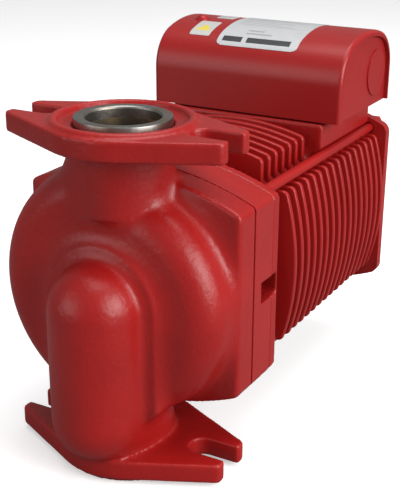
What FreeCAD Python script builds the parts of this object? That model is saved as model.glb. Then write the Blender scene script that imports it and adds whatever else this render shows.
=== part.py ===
import FreeCAD, Part
import math
import os
from FreeCAD import Vector

# Circulator pump, millimetres. The pipe runs along Z and the motor lies along +Y behind it.
# The origin is the middle of the lower pipe flange's face, and +X is to the right seen from the front.

# Pipe connections
face_to_face = 162.0
port_radius = 16.5
collar_radius = 21.5
recess_radius = 28.4
recess_depth = 3.0
rim_radius = 31.8
rim_rise = 2.2
flange_middle_radius = 34.5
flange_thickness = 9.4
flange_reach = 55.0
prong_half_width = 12.0
prong_rounding = 3.0
slot_mouth_rounding = 1.5
bolt_spacing = 80.0
bolt_slot_width = 13.0

# Volute casing
casing_wall = 4.5
spiral_start_angle = 20.0
spiral_start_radius = 50.0
spiral_growth = 11.5
shoulder_radius = 14.0
casing_front = -18.0
casing_back = 6.0
neck_radius = 21.5
neck_foot_radius = 40.0
island_half_width = 29.0
island_drop = 46.0
island_rise = 4.0
island_rounding = 2.5
elbow_offset = 25.0
elbow_bottom_height = 30.0
elbow_first_height = 14.0
opening_radius = 46.0
gasket_width = 4.0
gasket_thickness = 1.0

# Square plates between the pump and the motor
plate_half_width = 55.0
plate_side_height = 43.0
plate_crown = 12.3
plate_rounding = 3.0
casing_plate_front = 4.0
casing_plate_thickness = 15.0
adapter_thickness = 17.5
motor_flange_thickness = 5.9
rear_plate_half_width = 56.0
rear_plate_thickness = 5.5
rear_plate_rounding = 6.0

# Through bolts, one in each corner
bolt_across = 91.0
bolt_rise = 41.5
bolt_drop = 37.5
bolt_radius = 2.6
bolt_hole_radius = 3.0
bolt_thread_depth = 13.0
bolt_head_radius = 5.0
bolt_head_height = 4.2
washer_radius = 5.4
washer_thickness = 1.2

# Motor housing
housing_length = 141.5
housing_bore_radius = 40.5
core_half_width = 44.0
core_rounding = 20.0
fin_thickness = 2.75
fin_pitch = 7.75
fin_count = 16
top_fin_count = 7
first_fin_offset = 17.2
side_fin_reach = 57.0
side_fin_end_reach = 51.0
side_fin_half_height = 38.4
top_fin_reach = 57.5
top_fin_end_reach = 52.0
top_fin_half_width = 38.0
fin_rounding = 3.0
pedestal_front = 112.0
pedestal_half_width = 45.0
pedestal_root = 36.0
pedestal_top = 57.2

# Weep slots
weep_front = 26.0
weep_half_height = 5.2
weep_notch_depth = 5.0
weep_chamber_radius = 20.0
weep_chamber_length = 8.0

# Fits
spigot_clearance = 0.1
wear_ring_clearance = 0.25
air_gap = 0.4
raceway_clearance = 0.1
seal_face_gap = 0.1
loose_clearance = 0.2

# Shaft and bearings
journal_radius = 6.0
hub_seat_radius = 5.0
thread_radius = 3.0
rotor_seat_radius = 8.0
shoulder_shaft_radius = 7.0
shaft_passage_radius = 8.0
bearing_outer_radius = 16.0
bearing_width = 10.0
race_wall = 2.8
ball_radius = 2.98
ball_count = 7
cage_wall = 1.0
cage_width = 7.4
bearing_hub_radius = 21.0
front_bearing_start = 37.0
snap_ring_thickness = 1.2
snap_ring_bite = 0.9
snap_ring_width = 2.8
snap_ring_gap_angle = 50.0
front_hub_length = 50.0
rear_bearing_end = 170.0
wave_spring_space = 1.6
wave_spring_thickness = 0.4
wave_spring_inner_radius = 12.5
wave_spring_outer_radius = 15.5
rear_hub_front = 158.0
cover_spigot_length = 5.0

# Impeller
impeller_radius = 39.5
eye_radius = 15.0
eye_wall = 3.0
shroud_thickness = 2.5
vane_height = 6.0
vane_thickness = 2.4
vane_count = 6
vane_wrap = 100.0
vane_root_radius = 12.0
impeller_back = 3.0
impeller_hub_radius = 11.5
impeller_nose_radius = 9.0
impeller_hub_back = 4.5
impeller_hub_front = -9.0
eye_front = -15.5
wear_bore_front = -17.0
nut_washer_thickness = 1.2
nut_washer_radius = 7.0
nut_height = 5.0
nut_corner_radius = 5.6

# Mechanical seal
seal_bore_radius = 14.5
seal_bore_front = 9.0
seal_seat_front = 15.0
seal_seat_thickness = 6.0
seal_seat_radius = 11.5
seal_seat_bore = 8.0
seal_cup_floor = 1.0
carbon_thickness = 3.0
carbon_radius = 9.4
carbon_clearance = 0.6
bellows_radius = 8.6
retainer_wall = 0.6
retainer_flange_radius = 11.0
retainer_flange_thickness = 0.7
retainer_length = 3.5
seal_spring_radius = 10.3
seal_wire_radius = 0.5
seal_spring_turns = 3
slinger_start = 28.5
slinger_thickness = 2.5
slinger_radius = 13.0

# Stator and rotor
stack_start = 75.0
stack_length = 70.0
stator_bore_radius = 23.5
stator_slot_count = 24
stator_slot_width = 4.2
back_iron = 6.5
stator_tooth_tip = 2.2
stator_slot_mouth = 1.6
winding_gap = 0.2
end_turn_length = 15.0
end_turn_inner_step = 2.5
end_turn_gap = 5.0
end_turn_round_share = 8 / 19
rotor_bar_radius = 1.3
rotor_bar_circle = 20.6
rotor_bar_count = 28
end_ring_width = 6.0
end_ring_inner_radius = 14.0
end_ring_outer_radius = 22.5
rotor_blade_length = 5.0
rotor_blade_margin = 1.0
rotor_blade_thickness = 2.0
rotor_blade_count = 8

# Terminal box, with heights above the motor axis
box_half_length = 54.0
box_front = 113.0
box_depth = 71.0
box_bottom = 58.2
box_spring_height = 76.6
box_corner_radius = 21.0
box_crown_radius = 70.0
cover_wall = 3.2
cover_end_rounding = 2.2
end_wall_recess = 2.0
end_wall_thickness = 2.5
box_floor_thickness = 2.5
knockout_radius = 12.4
knockout_offset = 16.8
knockout_height = 75.5
knockout_rise = 0.8
cover_screw_x = -40.0
cover_screw_y = 141.0
cover_screw_head_radius = 3.75
cover_screw_head_height = 3.0
cover_screw_radius = 2.0
cover_screw_length = 16.0
post_radius = 5.0
box_screw_half_length = 34.0
box_screw_half_depth = 25.0
box_screw_radius = 2.0
box_screw_length = 10.0
box_screw_head_radius = 4.0
box_screw_head_height = 2.6
lead_hole_radius = 6.5
lead_hole_x = 0.0
lead_hole_y = 151.0
grommet_wall = 1.8
grommet_flange_radius = 8.5
grommet_flange_thickness = 1.6
lead_radius = 1.3
lead_spacing = 3.2
lead_rise = 3.0
terminal_spacing = 11.0
terminal_block_depth = 14.0
terminal_block_height = 11.0
terminal_block_front = 161.0
terminal_screw_radius = 2.6
terminal_screw_height = 2.0
terminal_screw_shank_radius = 1.5
capacitor_radius = 12.5
capacitor_length = 62.0
capacitor_x = 3.0
capacitor_y = 131.0
capacitor_tab_height = 6.0
clip_width = 10.0
clip_wall = 1.0
clip_foot = 9.0
clip_x = 22.0
ground_screw_x = 30.0
ground_screw_y = 166.0
label_thickness = 0.2

# Places worked out from the sizes above
axis_z = face_to_face / 2
seam_y = casing_plate_front + casing_plate_thickness
adapter_back = seam_y + adapter_thickness
motor_flange_back = adapter_back + motor_flange_thickness
housing_back = adapter_back + housing_length
rear_plate_back = housing_back + rear_plate_thickness
front_bearing_end = front_bearing_start + bearing_width
rear_bearing_start = rear_bearing_end - bearing_width
inner_race_radius = journal_radius + race_wall
ball_circle = (bearing_outer_radius + journal_radius) / 2
stack_end = stack_start + stack_length
stack_middle = (stack_start + stack_end) / 2
rotor_radius = stator_bore_radius - air_gap
carbon_bore = journal_radius + carbon_clearance
stator_slot_depth = housing_bore_radius - back_iron
end_turn_inner_radius = stator_bore_radius + end_turn_inner_step
end_turn_outer_radius = housing_bore_radius - end_turn_gap
end_turn_rounding = (end_turn_outer_radius - end_turn_inner_radius) * end_turn_round_share
vane_back = impeller_back - shroud_thickness
vane_front = vane_back - vane_height
shroud_front = vane_front - shroud_thickness
eye_outer_radius = eye_radius + eye_wall
wear_bore_radius = eye_outer_radius + wear_ring_clearance
nut_start = impeller_hub_front - nut_washer_thickness
carbon_back = seal_seat_front - seal_face_gap
carbon_front = carbon_back - carbon_thickness
box_middle = box_front + box_depth / 2
box_z = axis_z + box_bottom
floor_top = box_z + box_floor_thickness
pedestal_z = axis_z + pedestal_top
cavity_front = casing_front + casing_wall
cavity_back = casing_back - casing_wall
fin_start = adapter_back + motor_flange_thickness + first_fin_offset

solids = {}


def save(name, shape):
    solids[name] = shape


def join(shapes):
    if len(shapes) == 1:
        return shapes[0]
    return shapes[0].multiFuse(shapes[1:]).removeSplitter()


def group(shapes):
    return Part.makeCompound(shapes)


def rodY(radius, start, end, x=0.0, z=axis_z):
    return Part.makeCylinder(radius, end - start, Vector(x, start, z), Vector(0, 1, 0))


def rodZ(radius, bottom, top, x=0.0, y=0.0):
    return Part.makeCylinder(radius, top - bottom, Vector(x, y, bottom))


def rodX(radius, left, right, y, z):
    return Part.makeCylinder(radius, right - left, Vector(left, y, z), Vector(1, 0, 0))


def ringY(outer, inner, start, end, x=0.0, z=axis_z):
    return rodY(outer, start, end, x, z).cut(rodY(inner, start, end, x, z))


def block(left, right, front, back, bottom, top):
    return Part.makeBox(right - left, back - front, top - bottom, Vector(left, front, bottom))


def spunY(shape, angle):
    turned = shape.copy()
    turned.rotate(Vector(0, 0, axis_z), Vector(0, 1, 0), angle)
    return turned


def mirroredX(shape):
    return shape.mirror(Vector(0, 0, 0), Vector(1, 0, 0))


def mirroredZ(shape):
    return shape.mirror(Vector(0, 0, axis_z), Vector(0, 0, 1))


def around(angle, radius, y):
    """A point on a circle about the motor axis; the angle runs clockwise from the top."""
    turn = math.radians(angle)
    return Vector(radius * math.sin(turn), y, axis_z + radius * math.cos(turn))


def edgesAlong(shape, direction, wanted):
    """The straight edges that run along a direction and whose middle passes a test."""
    found = []
    for edge in shape.Edges:
        if edge.Curve.TypeId != "Part::GeomLine":
            continue
        if abs(abs(edge.Curve.Direction.dot(direction)) - 1.0) < 1e-6 and wanted(edge.CenterOfMass):
            found.append(edge)
    return found


def outlineFace(edges):
    return Part.Face(Part.Wire(edges))


def bowedEdges(y, half_width, side_height, crown):
    """A rectangle whose top and bottom are bowed outward by an arc."""
    corners = [Vector(-half_width, y, axis_z - side_height), Vector(-half_width, y, axis_z + side_height),
               Vector(half_width, y, axis_z + side_height), Vector(half_width, y, axis_z - side_height)]
    top = Vector(0, y, axis_z + side_height + crown)
    bottom = Vector(0, y, axis_z - side_height - crown)
    return [Part.makeLine(corners[0], corners[1]),
            Part.Arc(corners[1], top, corners[2]).toShape(),
            Part.makeLine(corners[2], corners[3]),
            Part.Arc(corners[3], bottom, corners[0]).toShape()]


def squarePlate(start, end, half_width, rounding):
    face = outlineFace(bowedEdges(start, half_width, plate_side_height, plate_crown))
    plate = face.extrude(Vector(0, end - start, 0))
    corners = edgesAlong(plate, Vector(0, 1, 0), lambda point: True)
    return plate.makeFillet(rounding, corners)


def boltPlaces():
    return [(x * bolt_across / 2, axis_z + z) for x in (-1, 1) for z in (-bolt_drop, bolt_rise)]


def boltHoles(start, end, radius):
    return [rodY(radius, start, end, x, z) for x, z in boltPlaces()]


# Volute casing

def forkOutline(z):
    """A rhombus with a round middle, and blunt ends where the bolt slots open."""
    reach = math.hypot(flange_reach, prong_half_width)
    lean = math.atan2(prong_half_width, flange_reach) + math.acos(flange_middle_radius / reach)
    touch_x = flange_middle_radius * math.cos(lean)
    touch_y = flange_middle_radius * math.sin(lean)
    edges = []
    for side in (1, -1):
        edges.append(Part.makeLine(Vector(side * flange_reach, -side * prong_half_width, z),
                                   Vector(side * flange_reach, side * prong_half_width, z)))
        edges.append(Part.makeLine(Vector(side * flange_reach, side * prong_half_width, z),
                                   Vector(side * touch_x, side * touch_y, z)))
        edges.append(Part.Arc(Vector(side * touch_x, side * touch_y, z), Vector(0, side * flange_middle_radius, z),
                              Vector(-side * touch_x, side * touch_y, z)).toShape())
        edges.append(Part.makeLine(Vector(-side * touch_x, side * touch_y, z),
                                   Vector(-side * flange_reach, side * prong_half_width, z)))
    return outlineFace(edges)


def boltSlot(side, bottom, top):
    inner = side * bolt_spacing / 2
    outer = side * (flange_reach + 1.0)
    half = bolt_slot_width / 2
    return join([rodZ(half, bottom, top, inner),
                 block(min(inner, outer), max(inner, outer), -half, half, bottom, top)])


def pipeFlange(face_z, inward):
    """One forked pipe flange; inward is +1 when the metal lies above its face and -1 when below."""
    prong_z = face_z + inward * rim_rise
    back_z = prong_z + inward * flange_thickness
    low = min(prong_z, back_z)
    plate = forkOutline(low).extrude(Vector(0, 0, flange_thickness))
    for side in (-1, 1):
        plate = plate.cut(boltSlot(side, low, low + flange_thickness))
    tips = edgesAlong(plate, Vector(0, 0, 1), lambda point: abs(point.y) > bolt_slot_width / 2 + 1
                      and abs(point.x) > flange_reach - 1)
    plate = plate.makeFillet(prong_rounding, tips)
    mouths = edgesAlong(plate, Vector(0, 0, 1), lambda point: abs(point.y) < bolt_slot_width / 2 + 0.1
                        and abs(point.x) > flange_reach - 0.1)
    plate = plate.makeFillet(slot_mouth_rounding, mouths)
    rim = rodZ(rim_radius, min(face_z, prong_z), max(face_z, prong_z))
    recess_z = face_z + inward * recess_depth
    recess_low = min(face_z, recess_z)
    recess = rodZ(recess_radius, recess_low, recess_low + recess_depth).cut(
        rodZ(collar_radius, recess_low, recess_low + recess_depth))
    return join([plate, rim]).cut(recess)


def spiralRadius(angle):
    share = (angle - spiral_start_angle) / (360.0 - spiral_start_angle)
    return spiral_start_radius + spiral_growth * math.sin(math.radians(90.0 * share))


def spiralWire(y, inset):
    steps = 36
    points = []
    for step in range(steps + 1):
        angle = spiral_start_angle + (360.0 - spiral_start_angle) * step / steps
        points.append(around(angle, spiralRadius(angle) - inset, y))
    curve = Part.BSplineCurve()
    curve.interpolate(points)
    return Part.Wire([curve.toShape(), Part.makeLine(points[-1], points[0])])


def spiralBody(front, back, inset, shoulder):
    """A drum with the spiral outline, whose front edge is rounded by the shoulder radius."""
    turn_y = front + shoulder
    drum = Part.Face(spiralWire(turn_y, inset)).extrude(Vector(0, back - turn_y, 0))
    sections = []
    for step in range(7):
        lift = math.radians(15.0 * step)
        sections.append(spiralWire(turn_y - shoulder * math.sin(lift), inset + shoulder * (1 - math.cos(lift))))
    cap = Part.makeLoft(sections, True, False)
    return join([drum, cap])


def pipeRun(radius, stops):
    """Round bars through the stops, with a ball at each bend."""
    pieces = []
    for start, end in zip(stops, stops[1:]):
        run = end.sub(start)
        pieces.append(Part.makeCylinder(radius, run.Length, start, run))
    for stop in stops[1:-1]:
        pieces.append(Part.makeSphere(radius, stop))
    return join(pieces)


def elbowStops(end_y):
    return [Vector(0, 0, 0), Vector(0, 0, elbow_first_height), Vector(0, -elbow_offset, elbow_bottom_height),
            Vector(0, -elbow_offset, axis_z), Vector(0, end_y, axis_z)]


def island():
    front = casing_front - island_rise
    half = island_half_width
    foot = axis_z - island_drop
    left_top = Vector(-half, front, axis_z)
    right_top = Vector(half, front, axis_z)
    face = outlineFace([Part.makeLine(Vector(-half, front, foot), left_top),
                        Part.Arc(left_top, Vector(0, front, axis_z + half), right_top).toShape(),
                        Part.makeLine(right_top, Vector(half, front, foot)),
                        Part.Arc(Vector(half, front, foot), Vector(0, front, foot - half / 2),
                                 Vector(-half, front, foot)).toShape()])
    raised = face.extrude(Vector(0, island_rise + shoulder_radius / 2, 0))
    rim = [edge for edge in raised.Edges if abs(edge.BoundBox.YMax - front) < 1e-6]
    return raised.makeFillet(island_rounding, rim)


def dischargeNeck():
    neck = rodZ(neck_radius, axis_z + neck_foot_radius, face_to_face - rim_rise - flange_thickness / 2)
    plate_top = axis_z + plate_side_height + plate_crown
    behind_seam = block(-neck_radius, neck_radius, seam_y, seam_y + neck_radius, axis_z, plate_top + 1.0)
    return neck.cut(behind_seam)


def voluteCasing():
    metal = join([squarePlate(casing_plate_front, seam_y, plate_half_width, plate_rounding),
                  spiralBody(casing_front, casing_back, 0.0, shoulder_radius),
                  dischargeNeck(),
                  island(),
                  pipeRun(neck_radius, elbowStops(cavity_front)),
                  pipeFlange(0.0, 1),
                  pipeFlange(face_to_face, -1),
                  rodZ(collar_radius, face_to_face - rim_rise - flange_thickness, face_to_face)])
    water = [spiralBody(cavity_front, cavity_back, casing_wall, shoulder_radius - casing_wall),
             rodY(opening_radius, cavity_back, seam_y),
             rodY(opening_radius + gasket_width, seam_y - gasket_thickness, seam_y),
             rodY(wear_bore_radius, wear_bore_front, cavity_front),
             pipeRun(port_radius, elbowStops(wear_bore_front)),
             rodZ(port_radius, axis_z + opening_radius + 1.0, face_to_face),
             rodZ(neck_radius, -neck_radius, 0)]
    holes = boltHoles(seam_y - bolt_thread_depth, seam_y, bolt_radius)
    return metal.cut(water + holes)


def voluteGasket():
    return ringY(opening_radius + gasket_width, opening_radius, seam_y - gasket_thickness, seam_y)


# Adapter plate, between the casing and the motor

def weepSlot(side):
    inner = side * (weep_chamber_radius - 2.0)
    outer = side * (plate_half_width + 1.0)
    return block(min(inner, outer), max(inner, outer), weep_front, adapter_back,
                 axis_z - weep_half_height, axis_z + weep_half_height)


def adapterPlate():
    metal = join([squarePlate(seam_y, adapter_back, plate_half_width, plate_rounding),
                  rodY(opening_radius - spigot_clearance, seal_bore_front, seam_y),
                  rodY(housing_bore_radius - spigot_clearance, adapter_back, motor_flange_back),
                  rodY(bearing_hub_radius, motor_flange_back, front_hub_length)])
    seal_bore_end = seal_seat_front + seal_seat_thickness + seal_cup_floor
    snap_end = front_bearing_end + snap_ring_thickness
    cuts = [rodY(seal_bore_radius, seal_bore_front, seal_bore_end),
            rodY(shaft_passage_radius, seal_bore_end, front_hub_length),
            rodY(weep_chamber_radius, weep_front, weep_front + weep_chamber_length),
            rodY(bearing_outer_radius, front_bearing_start, front_hub_length),
            rodY(bearing_outer_radius + snap_ring_bite, front_bearing_end, snap_end)]
    holes = boltHoles(seam_y, adapter_back, bolt_hole_radius)
    return metal.cut(cuts + holes + [weepSlot(-1), weepSlot(1)])


# Mechanical seal: the seat and its cup stay still, the rest turns with the shaft

def buildSeal():
    seat_back = seal_seat_front + seal_seat_thickness
    cup_wall = ringY(seal_bore_radius, seal_seat_radius, seal_seat_front, seat_back)
    cup_floor = ringY(seal_bore_radius, seal_seat_bore + 0.5, seat_back, seat_back + seal_cup_floor)
    save("seal_cup", join([cup_wall, cup_floor]))
    save("seal_seat", ringY(seal_seat_radius, seal_seat_bore, seal_seat_front, seat_back))
    save("seal_carbon_ring", ringY(carbon_radius, carbon_bore, carbon_front, carbon_back))
    save("seal_bellows", ringY(bellows_radius, journal_radius, impeller_hub_back, carbon_front))
    sleeve = ringY(bellows_radius + retainer_wall, bellows_radius, carbon_front - retainer_length, carbon_front)
    flange = ringY(retainer_flange_radius, bellows_radius, carbon_front - retainer_flange_thickness, carbon_front)
    save("seal_retainer", join([sleeve, flange]))
    first = impeller_hub_back + seal_wire_radius
    last = carbon_front - retainer_flange_thickness - seal_wire_radius
    save("seal_spring", coilSpring(seal_spring_radius, seal_wire_radius, first, last, seal_spring_turns))


def coilSpring(radius, wire_radius, first, last, turns):
    steps = int(24 * turns)
    points = [around(360.0 * turns * step / steps, radius, first + (last - first) * step / steps)
              for step in range(steps + 1)]
    curve = Part.BSplineCurve()
    curve.interpolate(points)
    section = Part.makeCircle(wire_radius, points[0], curve.tangent(curve.FirstParameter)[0])
    return Part.Wire(curve.toShape()).makePipeShell([Part.Wire(section)], True, True)


# Impeller

def vane():
    """One backward-curved vane: its angle falls behind the direction of turning as it goes outward."""
    sides = []
    steps = 8
    for offset in (-vane_thickness / 2, vane_thickness / 2):
        points = []
        for step in range(steps + 1):
            share = step / steps
            radius = vane_root_radius + (impeller_radius - vane_root_radius) * share
            shift = math.degrees(offset / radius) * 1.6
            points.append(around(-vane_wrap * share ** 0.7 + shift, radius, vane_front))
        curve = Part.BSplineCurve()
        curve.interpolate(points)
        sides.append((curve.toShape(), points))
    (first, first_points), (second, second_points) = sides
    face = outlineFace([first, Part.makeLine(first_points[-1], second_points[-1]), second,
                        Part.makeLine(second_points[0], first_points[0])])
    return face.extrude(Vector(0, vane_height, 0))


def impeller():
    blade = vane()
    blades = [spunY(blade, 360.0 * number / vane_count) for number in range(vane_count)]
    shrouds = [rodY(impeller_radius, vane_back, impeller_back),
               ringY(impeller_radius, eye_radius, shroud_front, vane_front),
               ringY(eye_outer_radius, eye_radius, eye_front, vane_front),
               rodY(impeller_hub_radius, vane_back, impeller_hub_back),
               rodY(impeller_nose_radius, impeller_hub_front, impeller_back)]
    return join(shrouds + blades).cut(rodY(hub_seat_radius, impeller_hub_front, impeller_hub_back))


def hexBarY(corner_radius, start, end, x=0.0, z=axis_z):
    corners = []
    for number in range(7):
        turn = math.radians(60.0 * number)
        corners.append(Vector(x + corner_radius * math.cos(turn), start, z + corner_radius * math.sin(turn)))
    return Part.Face(Part.makePolygon(corners)).extrude(Vector(0, end - start, 0))


def impellerNut():
    body = hexBarY(nut_corner_radius, nut_start - nut_height, nut_start)
    return body.cut(rodY(thread_radius, nut_start - nut_height, nut_start))


# Shaft and bearings

def motorShaft():
    steps = [(thread_radius, nut_start - nut_height - 1.0, impeller_hub_front),
             (hub_seat_radius, impeller_hub_front, impeller_hub_back),
             (journal_radius, impeller_hub_back, front_bearing_end),
             (shoulder_shaft_radius, front_bearing_end, rear_bearing_start),
             (rotor_seat_radius, stack_start - end_ring_width, stack_end + end_ring_width),
             (journal_radius, rear_bearing_start, rear_bearing_end + 0.6)]
    return join([rodY(radius, start, end) for radius, start, end in steps])


def buildBearing(name, start):
    end = start + bearing_width
    middle = (start + end) / 2
    groove_radius = ball_radius + raceway_clearance
    groove = Part.makeTorus(ball_circle, groove_radius, Vector(0, middle, axis_z), Vector(0, 1, 0))
    outer_bore = bearing_outer_radius - race_wall
    save(name + "_outer_race", ringY(bearing_outer_radius, outer_bore, start, end).cut(groove))
    save(name + "_inner_race", ringY(inner_race_radius, journal_radius, start, end).cut(groove))
    places = [around(360.0 * number / ball_count, ball_circle, middle) for number in range(ball_count)]
    save(name + "_balls", group([Part.makeSphere(ball_radius, place) for place in places]))
    save(name + "_cage", bearingCage(middle))


def bearingCage(middle):
    """Drawn round the origin, which keeps its thin pocket edges exact, then moved to its bearing."""
    ribbon = ringY(ball_circle + cage_wall / 2, ball_circle - cage_wall / 2, -cage_width / 2, cage_width / 2, 0, 0)
    pockets = []
    for number in range(ball_count):
        turn = math.radians(360.0 * number / ball_count)
        place = Vector(ball_circle * math.sin(turn), 0, ball_circle * math.cos(turn))
        pockets.append(Part.makeSphere(ball_radius + raceway_clearance, place))
    cage = group(ribbon.cut(pockets).Solids)
    cage.translate(Vector(0, middle, axis_z))
    return cage


def snapRing():
    outer = bearing_outer_radius + snap_ring_bite
    end = front_bearing_end + snap_ring_thickness
    ring = ringY(outer, outer - snap_ring_width, front_bearing_end, end)
    opening = [around(0, 0, front_bearing_end)]
    for turn in (180 - snap_ring_gap_angle / 2, 180 + snap_ring_gap_angle / 2):
        opening.append(around(turn, 2 * outer, front_bearing_end))
    wedge = Part.Face(Part.makePolygon(opening + opening[:1])).extrude(Vector(0, snap_ring_thickness, 0))
    return ring.cut(wedge)


def waveSpring():
    rest = rear_bearing_end + wave_spring_thickness / 2
    swing = (wave_spring_space - 2 * wave_spring_thickness) / 2
    curves = []
    for radius in (wave_spring_inner_radius, wave_spring_outer_radius):
        points = []
        for number in range(24):
            angle = 15.0 * number
            y = rest + swing * (1 + math.cos(math.radians(3 * angle)))
            points.append(around(angle, radius, y))
        curve = Part.BSplineCurve()
        curve.interpolate(points, PeriodicFlag=True)
        curves.append(curve.toShape())
    return Part.makeRuledSurface(curves[0], curves[1]).extrude(Vector(0, wave_spring_thickness, 0))


# Stator and rotor

def statorCore():
    slot = join([block(-stator_slot_width / 2, stator_slot_width / 2, stack_start, stack_end,
                       axis_z + stator_bore_radius + stator_tooth_tip, axis_z + stator_slot_depth),
                 block(-stator_slot_mouth / 2, stator_slot_mouth / 2, stack_start, stack_end,
                       axis_z + stator_bore_radius - 1.0, axis_z + stator_slot_depth)])
    slots = [spunY(slot, 360.0 * number / stator_slot_count) for number in range(stator_slot_count)]
    return ringY(housing_bore_radius, stator_bore_radius, stack_start, stack_end).cut(slots)


def statorWindings():
    half = stator_slot_width / 2 - winding_gap
    reach = end_turn_length / 2
    bar = block(-half, half, stack_start - reach, stack_end + reach,
                axis_z + stator_bore_radius + stator_tooth_tip + winding_gap,
                axis_z + stator_slot_depth - winding_gap)
    bars = [spunY(bar, 360.0 * number / stator_slot_count) for number in range(stator_slot_count)]
    rings = []
    for start in (stack_start - end_turn_length - 1.0, stack_end + 1.0):
        ring = ringY(end_turn_outer_radius, end_turn_inner_radius, start, start + end_turn_length)
        rims = [edge for edge in ring.Edges if edge.Curve.TypeId == "Part::GeomCircle"]
        rings.append(ring.makeFillet(end_turn_rounding, rims))
    return join(rings + bars)


def rotorBars(start, end):
    return [rodY(rotor_bar_radius, start, end, place.x, place.z) for place in
            (around(360.0 * number / rotor_bar_count, rotor_bar_circle, 0) for number in range(rotor_bar_count))]


def rotorCore():
    return ringY(rotor_radius, rotor_seat_radius, stack_start, stack_end).cut(rotorBars(stack_start, stack_end))


def rotorCage():
    pieces = rotorBars(stack_start, stack_end)
    blade = block(-rotor_blade_thickness / 2, rotor_blade_thickness / 2,
                  stack_end + end_ring_width, stack_end + end_ring_width + rotor_blade_length,
                  axis_z + end_ring_inner_radius + rotor_blade_margin,
                  axis_z + end_ring_outer_radius - rotor_blade_margin)
    rear = [ringY(end_ring_outer_radius, end_ring_inner_radius, stack_end, stack_end + end_ring_width)]
    rear += [spunY(blade, 360.0 * number / rotor_blade_count) for number in range(rotor_blade_count)]
    rear = join(rear)
    front = rear.mirror(Vector(0, stack_middle, 0), Vector(0, 1, 0))
    return join([front, rear] + pieces)


# Motor housing

def sideFin(y):
    half = side_fin_half_height
    root = core_half_width - core_rounding
    end = side_fin_end_reach
    face = outlineFace([
        Part.makeLine(Vector(root, y, axis_z - half), Vector(root, y, axis_z + half)),
        Part.makeLine(Vector(root, y, axis_z + half), Vector(end, y, axis_z + half)),
        Part.Arc(Vector(end, y, axis_z + half), Vector(side_fin_reach, y, axis_z),
                 Vector(end, y, axis_z - half)).toShape(),
        Part.makeLine(Vector(end, y, axis_z - half), Vector(root, y, axis_z - half))])
    fin = face.extrude(Vector(0, fin_thickness, 0))
    ends = edgesAlong(fin, Vector(0, 1, 0), lambda point: point.x > end - 1.0)
    return fin.makeFillet(fin_rounding, ends)


def topFin(y):
    half = top_fin_half_width
    root = axis_z + core_half_width - core_rounding
    shoulder = axis_z + top_fin_end_reach
    face = outlineFace([
        Part.makeLine(Vector(-half, y, root), Vector(-half, y, shoulder)),
        Part.Arc(Vector(-half, y, shoulder), Vector(0, y, axis_z + top_fin_reach),
                 Vector(half, y, shoulder)).toShape(),
        Part.makeLine(Vector(half, y, shoulder), Vector(half, y, root)),
        Part.makeLine(Vector(half, y, root), Vector(-half, y, root))])
    fin = face.extrude(Vector(0, fin_thickness, 0))
    ends = edgesAlong(fin, Vector(0, 1, 0), lambda point: point.z > shoulder - 1.0)
    return fin.makeFillet(fin_rounding, ends)


def finPlaces(count):
    return [fin_start - fin_thickness / 2 + fin_pitch * number for number in range(count)]


def motorBody():
    core = block(-core_half_width, core_half_width, motor_flange_back, housing_back,
                 axis_z - core_half_width, axis_z + core_half_width)
    core = core.makeFillet(core_rounding, edgesAlong(core, Vector(0, 1, 0), lambda point: True))
    pedestal = block(-pedestal_half_width, pedestal_half_width, pedestal_front, housing_back,
                     axis_z + pedestal_root, pedestal_z)
    return join([core, pedestal])


def buildFins():
    housing = [motorBody()] + boltHoles(motor_flange_back, housing_back, bolt_hole_radius)
    right = [sideFin(y).cut(housing) for y in finPlaces(fin_count)]
    left = [mirroredX(fin) for fin in right]
    beside = housing + right + left
    save("right_fins", group(right))
    save("left_fins", group(left))
    save("top_fins", group([topFin(y).cut(beside) for y in finPlaces(top_fin_count)]))
    save("bottom_fins", group([mirroredZ(topFin(y)).cut(beside) for y in finPlaces(fin_count)]))


def motorHousing():
    cuts = [rodY(housing_bore_radius, adapter_back, housing_back)]
    cuts += boltHoles(adapter_back, housing_back, bolt_hole_radius)
    cuts.append(rodZ(lead_hole_radius, axis_z + end_turn_outer_radius, pedestal_z, lead_hole_x, lead_hole_y))
    for side in (-1, 1):
        inner = side * housing_bore_radius
        outer = side * (plate_half_width + 1.0)
        cuts.append(block(min(inner, outer), max(inner, outer), adapter_back, adapter_back + weep_notch_depth,
                          axis_z - weep_half_height, axis_z + weep_half_height))
    cuts += [rodZ(box_screw_radius, pedestal_z - box_screw_length, pedestal_z, x, y) for x, y in boxScrewPlaces()]
    plate = squarePlate(adapter_back, motor_flange_back, plate_half_width, plate_rounding)
    return join([plate, motorBody()]).cut(cuts)


def rearCover():
    metal = join([squarePlate(housing_back, rear_plate_back, rear_plate_half_width, rear_plate_rounding),
                  rodY(housing_bore_radius - spigot_clearance, housing_back - cover_spigot_length, housing_back),
                  rodY(bearing_hub_radius, rear_hub_front, housing_back)])
    pocket = rodY(bearing_outer_radius, rear_hub_front, rear_bearing_end + wave_spring_space)
    return metal.cut([pocket] + boltHoles(housing_back, rear_plate_back, bolt_hole_radius))


def throughBolts():
    bolts = []
    head_start = rear_plate_back + washer_thickness
    for x, z in boltPlaces():
        shank = rodY(bolt_radius, seam_y - bolt_thread_depth, head_start, x, z)
        bolts.append(join([shank, hexBarY(bolt_head_radius, head_start, head_start + bolt_head_height, x, z)]))
    return group(bolts)


def boltWashers():
    return group([ringY(washer_radius, bolt_hole_radius, rear_plate_back, rear_plate_back + washer_thickness, x, z)
                  for x, z in boltPlaces()])


# Terminal box

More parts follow.
